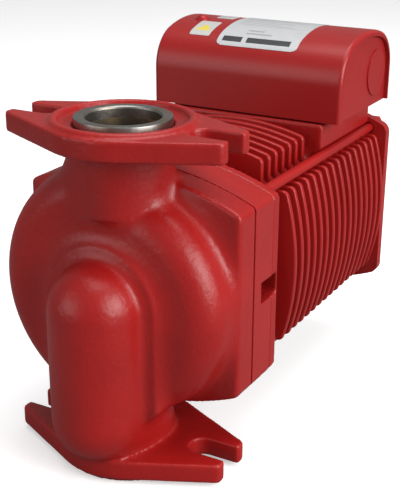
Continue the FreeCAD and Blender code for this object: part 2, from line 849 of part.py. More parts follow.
def archFace(x, grow, bottom=box_z):
    """The box's section: upright sides, two corner arcs and a flatter crown, grown outward all round."""
    half = box_depth / 2
    spring = axis_z + box_spring_height
    corner_shift = half - box_corner_radius
    crown_drop = math.sqrt((box_crown_radius - box_corner_radius) ** 2 - corner_shift ** 2)
    crown_z = spring - crown_drop
    corner = box_corner_radius + grow
    crown = box_crown_radius + grow
    lean = math.atan2(corner_shift, crown_drop)
    side_turn = (math.pi / 2 + lean) / 2

    def corner_point(side, turn):
        return Vector(x, box_middle + side * (corner_shift + corner * math.sin(turn)), spring + corner * math.cos(turn))

    def crown_point(turn):
        return Vector(x, box_middle + crown * math.sin(turn), crown_z + crown * math.cos(turn))

    left = box_middle - half - grow
    right = box_middle + half + grow
    return outlineFace([
        Part.makeLine(Vector(x, left, bottom), Vector(x, left, spring)),
        Part.Arc(corner_point(-1, math.pi / 2), corner_point(-1, side_turn), crown_point(-lean)).toShape(),
        Part.Arc(crown_point(-lean), crown_point(0), crown_point(lean)).toShape(),
        Part.Arc(crown_point(lean), corner_point(1, side_turn), corner_point(1, math.pi / 2)).toShape(),
        Part.makeLine(Vector(x, right, spring), Vector(x, right, bottom)),
        Part.makeLine(Vector(x, right, bottom), Vector(x, left, bottom))])


def arch(left, right, grow, bottom=box_z):
    return archFace(left, grow, bottom).extrude(Vector(right - left, 0, 0))


def crownHeight(y):
    """Height of the cover's outside above a point near the middle of its depth."""
    corner_shift = box_depth / 2 - box_corner_radius
    crown_drop = math.sqrt((box_crown_radius - box_corner_radius) ** 2 - corner_shift ** 2)
    return axis_z + box_spring_height - crown_drop + math.sqrt(box_crown_radius ** 2 - (y - box_middle) ** 2)


def screwSeat():
    """The flat that the cover screw's head sits on."""
    return crownHeight(cover_screw_y - cover_screw_head_radius)


def terminalBoxCover():
    outside = arch(-box_half_length, box_half_length, 0.0)
    end_edges = []
    for edge in outside.Edges:
        box = edge.BoundBox
        if box.XLength < 1e-6 and box.ZMax > box_z + 1.0:
            end_edges.append(edge)
    outside = outside.makeFillet(cover_end_rounding, end_edges)
    inside = arch(-box_half_length - 1.0, box_half_length + 1.0, -cover_wall)
    seat = screwSeat()
    spot = rodZ(cover_screw_head_radius + loose_clearance, seat, seat + box_depth / 4, cover_screw_x, cover_screw_y)
    hole = rodZ(cover_screw_radius + loose_clearance, seat - box_depth / 4, seat, cover_screw_x, cover_screw_y)
    return outside.cut([inside, spot, hole])


def knockoutPlace():
    return box_middle + knockout_offset, axis_z + knockout_height


def boxEnds(side):
    """The outer and inner X of one end wall."""
    outer = side * (box_half_length - end_wall_recess)
    return outer, outer - side * end_wall_thickness


def boxScrewPlaces():
    return [(x * box_screw_half_length, box_middle + y * box_screw_half_depth) for x in (-1, 1) for y in (-1, 1)]


def terminalBoxBase():
    inset = -cover_wall - loose_clearance
    reach = box_half_length - end_wall_recess
    half_depth = box_depth / 2 + inset
    walls = [block(-reach, reach, box_middle - half_depth, box_middle + half_depth, box_z, floor_top)]
    knockout_y, knockout_z = knockoutPlace()
    for side in (-1, 1):
        outer, inner = boxEnds(side)
        walls.append(arch(min(outer, inner), max(outer, inner), inset))
    post_top = screwSeat() - cover_wall - 1.0
    walls.append(rodZ(post_radius, box_z, post_top, cover_screw_x, cover_screw_y))
    cuts = [rodX(knockout_radius, -reach, reach, knockout_y, knockout_z),
            rodZ(cover_screw_radius, post_top - cover_screw_length, post_top, cover_screw_x, cover_screw_y),
            rodZ(lead_hole_radius, box_z, floor_top, lead_hole_x, lead_hole_y)]
    cuts += [rodZ(box_screw_radius + loose_clearance, box_z, floor_top, x, y) for x, y in boxScrewPlaces()]
    cuts.append(rodZ(box_screw_radius, box_z, floor_top, ground_screw_x, ground_screw_y))
    return join(walls).cut(cuts)


def knockoutDiscs():
    knockout_y, knockout_z = knockoutPlace()
    discs = []
    for side in (-1, 1):
        outer, inner = boxEnds(side)
        face = outer + side * knockout_rise
        discs.append(rodX(knockout_radius, min(inner, face), max(inner, face), knockout_y, knockout_z))
    return group(discs)


def boxGasket():
    margin = 1.0
    sheet = block(-pedestal_half_width + margin, pedestal_half_width - margin, box_front + cover_wall + margin,
                  housing_back - margin, pedestal_z, box_z)
    holes = [rodZ(box_screw_radius + loose_clearance, pedestal_z, box_z, x, y) for x, y in boxScrewPlaces()]
    return sheet.cut(holes + [rodZ(lead_hole_radius, pedestal_z, box_z, lead_hole_x, lead_hole_y)])


def panScrew(x, y, seat, shank_radius, shank_length, head_radius, head_height):
    """A screw with a domed head, standing on a seat and reaching down."""
    dome_radius = (head_radius ** 2 + head_height ** 2) / (2 * head_height)
    dome = Part.makeSphere(dome_radius, Vector(x, y, seat + head_height - dome_radius))
    head = dome.common(rodZ(head_radius, seat, seat + head_height, x, y))
    return join([head, rodZ(shank_radius, seat - shank_length, seat, x, y)])


def coverScrew():
    post_top = screwSeat() - cover_wall - 1.0
    length = screwSeat() - post_top + cover_screw_length
    return panScrew(cover_screw_x, cover_screw_y, screwSeat(), cover_screw_radius, length,
                    cover_screw_head_radius, cover_screw_head_height)


def boxScrews():
    return group([panScrew(x, y, floor_top, box_screw_radius, floor_top - pedestal_z + box_screw_length,
                           box_screw_head_radius, box_screw_head_height) for x, y in boxScrewPlaces()])


def leadGrommet():
    bottom = pedestal_z - grommet_flange_radius
    body = rodZ(lead_hole_radius, bottom, floor_top, lead_hole_x, lead_hole_y)
    flange = rodZ(grommet_flange_radius, floor_top, floor_top + grommet_flange_thickness, lead_hole_x, lead_hole_y)
    bore = rodZ(lead_hole_radius - grommet_wall, bottom, floor_top + grommet_flange_thickness,
                lead_hole_x, lead_hole_y)
    return join([body, flange]).cut(bore)


def terminalPlaces():
    return [number * terminal_spacing for number in (-1, 0, 1)]


def motorLeads():
    """Three short leads from the windings, up through the grommet and over to the terminals."""
    leads = []
    entry_z = floor_top + terminal_block_height / 2
    for number, terminal_x in zip((-1, 0, 1), terminalPlaces()):
        start_x = lead_hole_x + number * lead_spacing / 1.2
        start_y = lead_hole_y + (lead_spacing / 2 if number == 0 else -lead_spacing / 2)
        leads.append(pipeRun(lead_radius, [
            Vector(start_x, start_y, axis_z + end_turn_outer_radius + 0.4),
            Vector(start_x, start_y, floor_top + grommet_flange_thickness + lead_rise),
            Vector(terminal_x, terminal_block_front - 3.0, entry_z),
            Vector(terminal_x, terminal_block_front, entry_z)]))
    return group(leads)


def terminalBlock():
    half = 1.5 * terminal_spacing
    back = terminal_block_front + terminal_block_depth
    top = floor_top + terminal_block_height
    body = block(-half, half, terminal_block_front, back, floor_top, top)
    middle = terminal_block_front + terminal_block_depth / 2
    cuts = []
    for x in terminalPlaces():
        cuts.append(rodZ(terminal_screw_radius + loose_clearance, top - terminal_screw_height, top, x, middle))
        cuts.append(rodZ(terminal_screw_shank_radius, floor_top + 2.0, top, x, middle))
    for x in (-terminal_spacing / 2, terminal_spacing / 2):
        cuts.append(block(x - 0.6, x + 0.6, terminal_block_front, back, top - 3.0, top))
    return body.cut(cuts)


def terminalScrews():
    top = floor_top + terminal_block_height
    middle = terminal_block_front + terminal_block_depth / 2
    screws = []
    for x in terminalPlaces():
        head = rodZ(terminal_screw_radius, top - terminal_screw_height, top, x, middle)
        shank = rodZ(terminal_screw_shank_radius, floor_top + 2.0, top - terminal_screw_height, x, middle)
        slot = block(x - terminal_screw_radius, x + terminal_screw_radius, middle - 0.4, middle + 0.4, top - 0.8, top)
        screws.append(join([head, shank]).cut(slot))
    return group(screws)


def capacitorHeight():
    return floor_top + capacitor_radius + clip_wall


def runCapacitor():
    z = capacitorHeight()
    left = capacitor_x - capacitor_length / 2
    right = capacitor_x + capacitor_length / 2
    can = rodX(capacitor_radius, left, right, capacitor_y, z)
    rims = [edge for edge in can.Edges if edge.Curve.TypeId == "Part::GeomCircle"]
    can = can.makeFillet(1.5, rims)
    tabs = [block(right - 1.0, right + capacitor_tab_height, capacitor_y + shift - 2.0, capacitor_y + shift + 2.0,
                  z - 0.4, z + 0.4) for shift in (-5.0, 5.0)]
    return join([can] + tabs)


def capacitorClip():
    z = capacitorHeight()
    left = clip_x - clip_width / 2
    right = clip_x + clip_width / 2
    band = rodX(capacitor_radius + clip_wall, left, right, capacitor_y, z)
    back = capacitor_y + capacitor_radius + clip_wall
    foot = block(left, right, capacitor_y, back + clip_foot, floor_top, floor_top + clip_wall)
    return join([band, foot]).cut(rodX(capacitor_radius, left, right, capacitor_y, z))


def groundScrew():
    return panScrew(ground_screw_x, ground_screw_y, floor_top, box_screw_radius, box_floor_thickness,
                    box_screw_head_radius, box_screw_head_height)


def label(left, right, front, back):
    """A thin plate that follows the cover's arch."""
    sheet = arch(left, right, label_thickness).cut(arch(left, right, 0.0))
    return sheet.common(block(left, right, front, back, axis_z + box_spring_height, axis_z + 2 * box_spring_height))


save("volute_casing", voluteCasing())
save("volute_gasket", voluteGasket())
save("adapter_plate", adapterPlate())
buildSeal()
save("impeller", impeller())
save("impeller_washer", ringY(nut_washer_radius, thread_radius, nut_start, impeller_hub_front))
save("impeller_nut", impellerNut())
save("motor_shaft", motorShaft())
save("shaft_slinger", ringY(slinger_radius, journal_radius, slinger_start, slinger_start + slinger_thickness))
buildBearing("front_bearing", front_bearing_start)
buildBearing("rear_bearing", rear_bearing_start)
save("snap_ring", snapRing())
save("wave_spring", waveSpring())
save("stator_core", statorCore())
save("stator_windings", statorWindings())
save("rotor_core", rotorCore())
save("rotor_cage", rotorCage())
save("motor_housing", motorHousing())
buildFins()
save("rear_cover", rearCover())
save("through_bolts", throughBolts())
save("bolt_washers", boltWashers())
save("terminal_box_base", terminalBoxBase())
save("terminal_box_cover", terminalBoxCover())
save("knockout_discs", knockoutDiscs())
save("box_gasket", boxGasket())
save("cover_screw", coverScrew())
save("box_screws", boxScrews())
save("lead_grommet", leadGrommet())
save("motor_leads", motorLeads())
save("terminal_block", terminalBlock())
save("terminal_screws", terminalScrews())
save("run_capacitor", runCapacitor())
save("capacitor_clip", capacitorClip())
save("ground_screw", groundScrew())
save("nameplate", label(-20.0, 26.0, 121.0, 163.0))
save("warning_label", label(-38.0, -26.0, 123.0, 138.0))
save("small_label", label(-34.0, -24.0, 146.0, 156.0))

os.makedirs("parts", exist_ok=True)
for node, shape in solids.items():
    if not shape.isValid() or not shape.Solids:
        raise ValueError(node + " is not a valid solid")
    shape.exportStep("parts/" + node + ".step")
    print(node, len(shape.Solids), round(shape.Volume))
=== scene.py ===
import math

import bmesh
import bpy
import numpy as np
from mathutils import Matrix, Vector


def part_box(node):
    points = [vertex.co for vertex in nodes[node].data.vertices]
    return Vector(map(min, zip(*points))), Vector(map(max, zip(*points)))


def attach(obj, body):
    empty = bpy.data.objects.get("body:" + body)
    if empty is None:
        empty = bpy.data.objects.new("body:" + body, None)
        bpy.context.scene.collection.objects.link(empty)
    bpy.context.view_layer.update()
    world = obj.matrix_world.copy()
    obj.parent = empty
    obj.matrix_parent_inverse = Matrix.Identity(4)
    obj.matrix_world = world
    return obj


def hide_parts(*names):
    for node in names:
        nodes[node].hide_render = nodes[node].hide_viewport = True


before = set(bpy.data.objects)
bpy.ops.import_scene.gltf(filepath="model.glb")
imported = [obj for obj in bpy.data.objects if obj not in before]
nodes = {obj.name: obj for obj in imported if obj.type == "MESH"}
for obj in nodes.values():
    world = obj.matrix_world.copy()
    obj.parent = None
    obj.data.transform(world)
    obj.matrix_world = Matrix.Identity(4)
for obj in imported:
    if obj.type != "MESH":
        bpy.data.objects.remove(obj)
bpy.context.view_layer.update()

scene = bpy.context.scene

# Places read from the frame
pumpFrame = "pump_frame"
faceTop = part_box("volute_casing")[1].z  # discharge flange face
axisHeight = faceTop / 2  # motor shaft height
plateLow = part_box("adapter_plate")[0]
housingLow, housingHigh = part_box("motor_housing")
coverLow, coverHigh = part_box("terminal_box_cover")
mm = 0.001


# Small makers used by several pieces

def addObject(name, mesh):
    obj = bpy.data.objects.new(name, mesh)
    scene.collection.objects.link(obj)
    return obj


def meshFrom(name, points, faces):
    mesh = bpy.data.meshes.new(name)
    mesh.from_pydata([tuple(p) for p in points], [], faces)
    mesh.update()
    return mesh


def fixNormals(obj, weld=1e-6):
    work = bmesh.new()
    work.from_mesh(obj.data)
    bmesh.ops.remove_doubles(work, verts=work.verts, dist=weld)
    bmesh.ops.recalc_face_normals(work, faces=work.faces)
    work.to_mesh(obj.data)
    work.free()
    return obj


def bake(obj):
    graph = bpy.context.evaluated_depsgraph_get()
    mesh = bpy.data.meshes.new_from_object(obj.evaluated_get(graph), depsgraph=graph)
    obj.modifiers.clear()
    old = obj.data
    obj.data = mesh
    bpy.data.meshes.remove(old)
    return obj


def discard(*objects):
    for obj in objects:
        mesh = obj.data
        bpy.data.objects.remove(obj)
        bpy.data.meshes.remove(mesh)


def smoothShade(obj, angle=35):
    obj.data.shade_smooth()
    work = bmesh.new()
    work.from_mesh(obj.data)
    for edge in work.edges:
        edge.smooth = not edge.is_manifold or edge.calc_face_angle(0) < math.radians(angle)
    work.to_mesh(obj.data)
    work.free()
    return obj


def roundEdges(obj, width, segments=2, angle=30):
    bevel = obj.modifiers.new("softEdge", "BEVEL")
    bevel.width = width
    bevel.segments = segments
    bevel.limit_method = "ANGLE"
    bevel.angle_limit = math.radians(angle)
    bevel.use_clamp_overlap = True
    return bake(obj)


def boolean(obj, other, operation):
    step = obj.modifiers.new("join", "BOOLEAN")
    step.operation = operation
    step.object = other
    step.solver = "EXACT"
    bake(obj)
    discard(other)
    return obj


def mergedCopy(nodeName, name):
    obj = addObject(name, nodes[nodeName].data.copy())
    obj.data.materials.clear()
    work = bmesh.new()
    work.from_mesh(obj.data)
    bmesh.ops.remove_doubles(work, verts=work.verts, dist=2e-6)
    bmesh.ops.dissolve_limit(work, angle_limit=math.radians(0.5), verts=work.verts, edges=work.edges)
    work.to_mesh(obj.data)
    work.free()
    return obj


def rod(name, radius, start, end, segments=48):
    start, end = Vector(start), Vector(end)
    work = bmesh.new()
    bmesh.ops.create_cone(work, cap_ends=True, segments=segments, radius1=radius, radius2=radius,
                          depth=(end - start).length)
    turn = (end - start).to_track_quat("Z", "Y").to_matrix().to_4x4()
    bmesh.ops.transform(work, matrix=Matrix.Translation((start + end) / 2) @ turn, verts=work.verts)
    mesh = bpy.data.meshes.new(name)
    work.to_mesh(mesh)
    work.free()
    return addObject(name, mesh)


def slab(name, low, high):
    work = bmesh.new()
    bmesh.ops.create_cube(work, size=1)
    size = Vector(high) - Vector(low)
    place = Matrix.Translation((Vector(high) + Vector(low)) / 2) @ Matrix.Diagonal((*size, 1))
    bmesh.ops.transform(work, matrix=place, verts=work.verts)
    mesh = bpy.data.meshes.new(name)
    work.to_mesh(mesh)
    work.free()
    return addObject(name, mesh)


def lathe(name, profile, origin, axis="Z", segments=128):  # profile: closed list of (radius, along)
    points, faces = [], []
    count = len(profile)
    for turn in range(segments):
        angle = 2 * math.pi * turn / segments
        for radius, along in profile:
            a, b = radius * math.cos(angle), radius * math.sin(angle)
            spun = {"Z": (a, b, along), "Y": (a, along, b), "X": (along, a, b)}[axis]
            points.append(Vector(spun) + Vector(origin))
    for turn in range(segments):
        here, after = turn * count, (turn + 1) % segments * count
        for step in range(count):
            other = (step + 1) % count
            faces.append((here + step, after + step, after + other, here + other))
    return fixNormals(addObject(name, meshFrom(name, points, faces)))


def prism(name, outline, depth):  # outline: points in order; depth: vector
    work = bmesh.new()
    base = work.faces.new([work.verts.new(p) for p in outline])
    made = bmesh.ops.extrude_face_region(work, geom=[base])
    moved = [item for item in made["geom"] if isinstance(item, bmesh.types.BMVert)]
    bmesh.ops.translate(work, vec=depth, verts=moved)
    bmesh.ops.recalc_face_normals(work, faces=work.faces)
    mesh = bpy.data.meshes.new(name)
    work.to_mesh(mesh)
    work.free()
    return addObject(name, mesh)


def voxelSkin(obj, voxel):
    step = obj.modifiers.new("skin", "REMESH")
    step.mode = "VOXEL"
    step.voxel_size = voxel
    step.use_smooth_shade = True
    return bake(obj)


# Fills inner corners as a casting has them, and breaks its edges
def castSoften(obj, hollowRounds, edgeRounds, guard):
    mesh = obj.data
    count = len(mesh.vertices)
    co = np.empty(count * 3)
    mesh.vertices.foreach_get("co", co)
    co = co.reshape(-1, 3)
    ends = np.empty(len(mesh.edges) * 2, dtype=np.int64)
    mesh.edges.foreach_get("vertices", ends)
    ends = ends.reshape(-1, 2)
    both = np.concatenate([ends, ends[:, ::-1]])
    degree = np.bincount(both[:, 0], minlength=count)[:, None]
    weight = guard(co)[:, None]
    for turn in range(hollowRounds):
        if turn % 10 == 0:
            mesh.vertices.foreach_set("co", co.ravel())
            mesh.update()
            normal = np.empty(count * 3)
            mesh.vertex_normals.foreach_get("vector", normal)
            normal = normal.reshape(-1, 3)
        mean = np.stack([np.bincount(both[:, 0], co[both[:, 1], axis], minlength=count)
                         for axis in range(3)], axis=1) / degree
        move = mean - co
        lift = np.sum(move * normal, axis=1, keepdims=True)
        share = np.where(lift > 0, weight, 0.0) if turn >= edgeRounds else np.maximum(weight, 0.6)
        co = co + move * share * 0.6
    mesh.vertices.foreach_set("co", co.ravel())
    mesh.update()
    return obj


def thin(obj, most):
    triangles = sum(len(face.vertices) - 2 for face in obj.data.polygons)
    if triangles > most:
        step = obj.modifiers.new("thin", "DECIMATE")
        step.ratio = most / triangles
        bake(obj)
    obj.data.shade_smooth()
    return obj


def finishPiece(obj, finish, replaced=(), body=pumpFrame):
    obj.data.materials.clear()
    obj.data.materials.append(finish)
    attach(obj, body)
    if replaced:
        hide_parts(*replaced)
    return obj


# Helpers for node trees

def newGroup(name, kind, inputs, outputs):
    tree = bpy.data.node_groups.new(name, kind)
    for label, socketKind, value in inputs:
        socket = tree.interface.new_socket(name=label, in_out="INPUT", socket_type=socketKind)
        if value is not None:
            socket.default_value = value
    for label, socketKind in outputs:
        tree.interface.new_socket(name=label, in_out="OUTPUT", socket_type=socketKind)
    entry = tree.nodes.new("NodeGroupInput")
    leave = tree.nodes.new("NodeGroupOutput")
    return tree, entry, leave


def addNode(tree, kind, **settings):
    node = tree.nodes.new(kind)
    for key, value in settings.items():
        setattr(node, key, value)
    return node


def feed(tree, socket, value):  # a value is another node's socket or a plain number
    if isinstance(value, bpy.types.NodeSocket):
        tree.links.new(value, socket)
    else:
        socket.default_value = value


def mathNode(tree, operation, *values):
    node = addNode(tree, "ShaderNodeMath", operation=operation)
    for socket, value in zip(node.inputs, values):
        feed(tree, socket, value)
    return node.outputs["Value"]


def noiseNode(tree, vector, scale, detail):
    node = addNode(tree, "ShaderNodeTexNoise")
    node.inputs["Detail"].default_value = detail
    feed(tree, node.inputs["Vector"], vector)
    feed(tree, node.inputs["Scale"], scale)
    return node.outputs["Fac"]


def rangeNode(tree, value, fromMin, fromMax, toMin=0.0, toMax=1.0):
    node = addNode(tree, "ShaderNodeMapRange")
    for label, source in (("Value", value), ("From Min", fromMin), ("From Max", fromMax),
                          ("To Min", toMin), ("To Max", toMax)):
        feed(tree, node.inputs[label], source)
    return node.outputs["Result"]


def mixNode(tree, share, first, second):
    node = addNode(tree, "ShaderNodeMix", data_type="RGBA")
    for number, source in ((0, share), (6, first), (7, second)):
        feed(tree, node.inputs[number], source)
    return node.outputs[2]


def socketId(tree, label):
    for item in tree.interface.items_tree:
        if item.item_type == "SOCKET" and item.in_out == "INPUT" and item.name == label:
            return item.identifier


# A row of castings or screws, one copy of the object's own mesh at each place on a line
def makeRowTree():
    tree, entry, leave = newGroup("rowAlongMotor", "GeometryNodeTree",
                                  [("Geometry", "NodeSocketGeometry", None), ("Count", "NodeSocketInt", 4),
                                   ("Step", "NodeSocketVector", (0, 0.01, 0)), ("Wander", "NodeSocketFloat", 0.0),
                                   ("Seed", "NodeSocketInt", 7), ("Finish", "NodeSocketMaterial", None)],
                                  [("Geometry", "NodeSocketGeometry")])
    link = tree.links.new
    line = addNode(tree, "GeometryNodeMeshLine", mode="OFFSET")
    link(entry.outputs["Count"], line.inputs["Count"])
    link(entry.outputs["Step"], line.inputs["Offset"])
    place = addNode(tree, "GeometryNodeInstanceOnPoints")
    link(line.outputs["Mesh"], place.inputs["Points"])
    link(entry.outputs["Geometry"], place.inputs["Instance"])
    chance = addNode(tree, "FunctionNodeRandomValue", data_type="FLOAT_VECTOR")
    chance.inputs["Min"].default_value = (-1, -1, -1)
    chance.inputs["Max"].default_value = (1, 1, 1)
    link(entry.outputs["Seed"], chance.inputs["Seed"])
    scaled = addNode(tree, "ShaderNodeVectorMath", operation="SCALE")
    link(chance.outputs["Value"], scaled.inputs[0])
    link(entry.outputs["Wander"], scaled.inputs["Scale"])
    shift = addNode(tree, "GeometryNodeTranslateInstances")
    link(place.outputs["Instances"], shift.inputs["Instances"])
    link(scaled.outputs["Vector"], shift.inputs["Translation"])
    real = addNode(tree, "GeometryNodeRealizeInstances")
    link(shift.outputs["Instances"], real.inputs["Geometry"])
    paint = addNode(tree, "GeometryNodeSetMaterial")
    link(real.outputs["Geometry"], paint.inputs["Geometry"])
    link(entry.outputs["Finish"], paint.inputs["Material"])
    link(paint.outputs["Geometry"], leave.inputs["Geometry"])
    return tree


def repeat(obj, tree, **values):
    step = obj.modifiers.new("repeat", "NODES")
    step.node_group = tree
    for label, value in values.items():
        step[socketId(tree, label)] = value
    return bake(obj)


# Shader effects that several finishes share

def makePaintSkin():  # colour drift, orange peel, and lighter edges that are partly thin paint and partly a painted highlight, for red enamel
    tree, entry, leave = newGroup("enamelSkin", "ShaderNodeTree",
                                  [("Base", "NodeSocketColor", (0.3, 0.02, 0.02, 1)),
                                   ("Edge", "NodeSocketColor", (0.45, 0.06, 0.05, 1)),
                                   ("Drift", "NodeSocketFloat", 0.12), ("Edge Wear And Sheen", "NodeSocketFloat", 0.3),
                                   ("Roughness", "NodeSocketFloat", 0.35), ("Grain Scale", "NodeSocketFloat", 400.0),
                                   ("Pit Scale", "NodeSocketFloat", 120.0), ("Pit Depth", "NodeSocketFloat", 0.5)],
                                  [("Color", "NodeSocketColor"), ("Roughness", "NodeSocketFloat"),
                                   ("Height", "NodeSocketFloat")])
    where = addNode(tree, "ShaderNodeTexCoord").outputs["Object"]
    broad = noiseNode(tree, where, 28, 3)
    darkest = mathNode(tree, "SUBTRACT", 1, entry.outputs["Drift"])
    lightest = mathNode(tree, "ADD", 1, entry.outputs["Drift"])
    tinted = addNode(tree, "ShaderNodeVectorMath", operation="SCALE")
    feed(tree, tinted.inputs[0], entry.outputs["Base"])
    feed(tree, tinted.inputs["Scale"], rangeNode(tree, broad, 0.3, 0.7, darkest, lightest))
    # Lighter red on sharp convex edges, found by pointiness: partly thin paint, partly a painted highlight
    edge = rangeNode(tree, addNode(tree, "ShaderNodeNewGeometry").outputs["Pointiness"], 0.51, 0.6)
    edgeWearAndSheen = mathNode(tree, "MULTIPLY", edge, entry.outputs["Edge Wear And Sheen"])
    feed(tree, leave.inputs["Color"], mixNode(tree, edgeWearAndSheen, tinted.outputs["Vector"], entry.outputs["Edge"]))
    grain = noiseNode(tree, where, entry.outputs["Grain Scale"], 4)
    pits = mathNode(tree, "MULTIPLY", noiseNode(tree, where, entry.outputs["Pit Scale"], 2),
                    entry.outputs["Pit Depth"])
    feed(tree, leave.inputs["Height"], mathNode(tree, "ADD", grain, pits))
    feed(tree, leave.inputs["Roughness"], mathNode(tree, "MULTIPLY_ADD", grain, 0.12, entry.outputs["Roughness"]))
    return tree


def makeMetalSkin():  # turning lines round an axis, stains and grain, for bare metal
    tree, entry, leave = newGroup("bareMetalSkin", "ShaderNodeTree",
                                  [("Base", "NodeSocketColor", (0.5, 0.5, 0.5, 1)),
                                   ("Stain", "NodeSocketColor", (0.3, 0.25, 0.15, 1)),
                                   ("Stain Amount", "NodeSocketFloat", 0.3), ("Roughness", "NodeSocketFloat", 0.3),
                                   ("Line Scale", "NodeSocketFloat", 900.0),
                                   ("Stretch", "NodeSocketVector", (1, 1, 1))],
                                  [("Color", "NodeSocketColor"), ("Roughness", "NodeSocketFloat"),
                                   ("Height", "NodeSocketFloat")])
    where = addNode(tree, "ShaderNodeTexCoord").outputs["Object"]
    blotch = rangeNode(tree, noiseNode(tree, where, 90, 5), 0.45, 0.65)
    amount = mathNode(tree, "MULTIPLY", blotch, entry.outputs["Stain Amount"])
    feed(tree, leave.inputs["Color"], mixNode(tree, amount, entry.outputs["Base"], entry.outputs["Stain"]))
    stretched = addNode(tree, "ShaderNodeVectorMath", operation="MULTIPLY")
    feed(tree, stretched.inputs[0], where)
    feed(tree, stretched.inputs[1], entry.outputs["Stretch"])
    lines = noiseNode(tree, stretched.outputs["Vector"], entry.outputs["Line Scale"], 6)
    feed(tree, leave.inputs["Height"], lines)
    feed(tree, leave.inputs["Roughness"], mathNode(tree, "MULTIPLY_ADD", lines, 0.18, entry.outputs["Roughness"]))
    return tree


def makeSoftSkin():  # speckle and fine tooth, for rubber, plastic, fibre and ceramic
    tree, entry, leave = newGroup("mouldedSkin", "ShaderNodeTree",
                                  [("Base", "NodeSocketColor", (0.05, 0.05, 0.05, 1)),
                                   ("Speck", "NodeSocketColor", (0.1, 0.1, 0.1, 1)),
                                   ("Speck Amount", "NodeSocketFloat", 0.4), ("Roughness", "NodeSocketFloat", 0.6),
                                   ("Tooth Scale", "NodeSocketFloat", 700.0)],
                                  [("Color", "NodeSocketColor"), ("Roughness", "NodeSocketFloat"),
                                   ("Height", "NodeSocketFloat")])
    where = addNode(tree, "ShaderNodeTexCoord").outputs["Object"]
    tooth = noiseNode(tree, where, entry.outputs["Tooth Scale"], 4)
    amount = mathNode(tree, "MULTIPLY", rangeNode(tree, tooth, 0.48, 0.7), entry.outputs["Speck Amount"])
    feed(tree, leave.inputs["Color"], mixNode(tree, amount, entry.outputs["Base"], entry.outputs["Speck"]))
    feed(tree, leave.inputs["Height"], tooth)
    feed(tree, leave.inputs["Roughness"], mathNode(tree, "MULTIPLY_ADD", tooth, 0.15, entry.outputs["Roughness"]))
    return tree


paintSkin = makePaintSkin()
metalSkin = makeMetalSkin()
softSkin = makeSoftSkin()


def skinMaterial(name, skin, values, bump, metallic=0.0, coat=0.0, coatRoughness=0.2, specular=0.5):
    material = bpy.data.materials.new(name)
    material.use_nodes = True
    tree = material.node_tree
    shader = tree.nodes["Principled BSDF"]
    group = addNode(tree, "ShaderNodeGroup", node_tree=skin)
    for label, value in values.items():
        group.inputs[label].default_value = value
    shader.inputs["Metallic"].default_value = metallic
    shader.inputs["Coat Weight"].default_value = coat
    shader.inputs["Specular IOR Level"].default_value = specular
    shader.inputs["Coat Roughness"].default_value = coatRoughness
    relief = addNode(tree, "ShaderNodeBump")
    relief.inputs["Strength"].default_value = bump[0]
    relief.inputs["Distance"].default_value = bump[1]
    tree.links.new(group.outputs["Color"], shader.inputs["Base Color"])
    tree.links.new(group.outputs["Roughness"], shader.inputs["Roughness"])
    tree.links.new(group.outputs["Height"], relief.inputs["Height"])
    tree.links.new(relief.outputs["Normal"], shader.inputs["Normal"])
    return material


red = (0.35, 0.009, 0.008, 1)
redEdge = (0.44, 0.03, 0.027, 1)
castEnamel = skinMaterial("castEnamel", paintSkin,
                          {"Base": red, "Edge": redEdge, "Drift": 0.1, "Edge Wear And Sheen": 0.35, "Roughness": 0.3,
                           "Grain Scale": 420, "Pit Scale": 110, "Pit Depth": 1.2}, (0.35, 0.0006), specular=0.4)
smoothEnamel = skinMaterial("smoothEnamel", paintSkin,
                            {"Base": red, "Edge": redEdge, "Drift": 0.06, "Edge Wear And Sheen": 0.3, "Roughness": 0.28,
                             "Grain Scale": 700, "Pit Scale": 200, "Pit Depth": 0.3}, (0.15, 0.0003), specular=0.4)
sheetEnamel = skinMaterial("sheetEnamel", paintSkin,
                           {"Base": (0.335, 0.009, 0.0085, 1), "Edge": redEdge, "Drift": 0.05, "Edge Wear And Sheen": 0.2,
                            "Roughness": 0.3, "Grain Scale": 900, "Pit Scale": 300, "Pit Depth": 0.2},
                           (0.1, 0.0002), specular=0.45)
turnedIron = skinMaterial("turnedIron", metalSkin,
                          {"Base": (0.3, 0.29, 0.27, 1), "Stain": (0.2, 0.14, 0.07, 1), "Stain Amount": 0.5,
                           "Roughness": 0.28, "Line Scale": 500}, (0.2, 0.0002), metallic=1.0)
boreIron = skinMaterial("boreIron", metalSkin,
                        {"Base": (0.1, 0.085, 0.06, 1), "Stain": (0.3, 0.2, 0.08, 1), "Stain Amount": 0.6,
                         "Roughness": 0.45, "Line Scale": 300}, (0.4, 0.0004), metallic=0.7)
brightSteel = skinMaterial("brightSteel", metalSkin,
                           {"Base": (0.62, 0.62, 0.63, 1), "Stain": (0.45, 0.44, 0.42, 1), "Stain Amount": 0.3,
                            "Roughness": 0.18, "Line Scale": 900, "Stretch": (1, 12, 1)},
                           (0.1, 0.0001), metallic=1.0)
bearingSteel = skinMaterial("bearingSteel", metalSkin,
                            {"Base": (0.72, 0.72, 0.74, 1), "Stain": (0.6, 0.58, 0.55, 1), "Stain Amount": 0.15,
                             "Roughness": 0.08, "Line Scale": 1500}, (0.05, 0.0001), metallic=1.0)
laminatedSteel = skinMaterial("laminatedSteel", metalSkin,
                              {"Base": (0.25, 0.25, 0.26, 1), "Stain": (0.12, 0.1, 0.09, 1), "Stain Amount": 0.4,
                               "Roughness": 0.4, "Line Scale": 120, "Stretch": (0.05, 40, 0.05)},
                              (0.5, 0.0003), metallic=0.9)
castAluminium = skinMaterial("castAluminium", metalSkin,
                             {"Base": (0.7, 0.7, 0.71, 1), "Stain": (0.5, 0.5, 0.5, 1), "Stain Amount": 0.4,
                              "Roughness": 0.35, "Line Scale": 350}, (0.3, 0.0003), metallic=1.0)
canAluminium = skinMaterial("canAluminium", metalSkin,
                            {"Base": (0.78, 0.78, 0.79, 1), "Stain": (0.65, 0.65, 0.65, 1), "Stain Amount": 0.2,
                             "Roughness": 0.22, "Line Scale": 700, "Stretch": (0.1, 1, 1)},
                            (0.1, 0.0001), metallic=1.0)
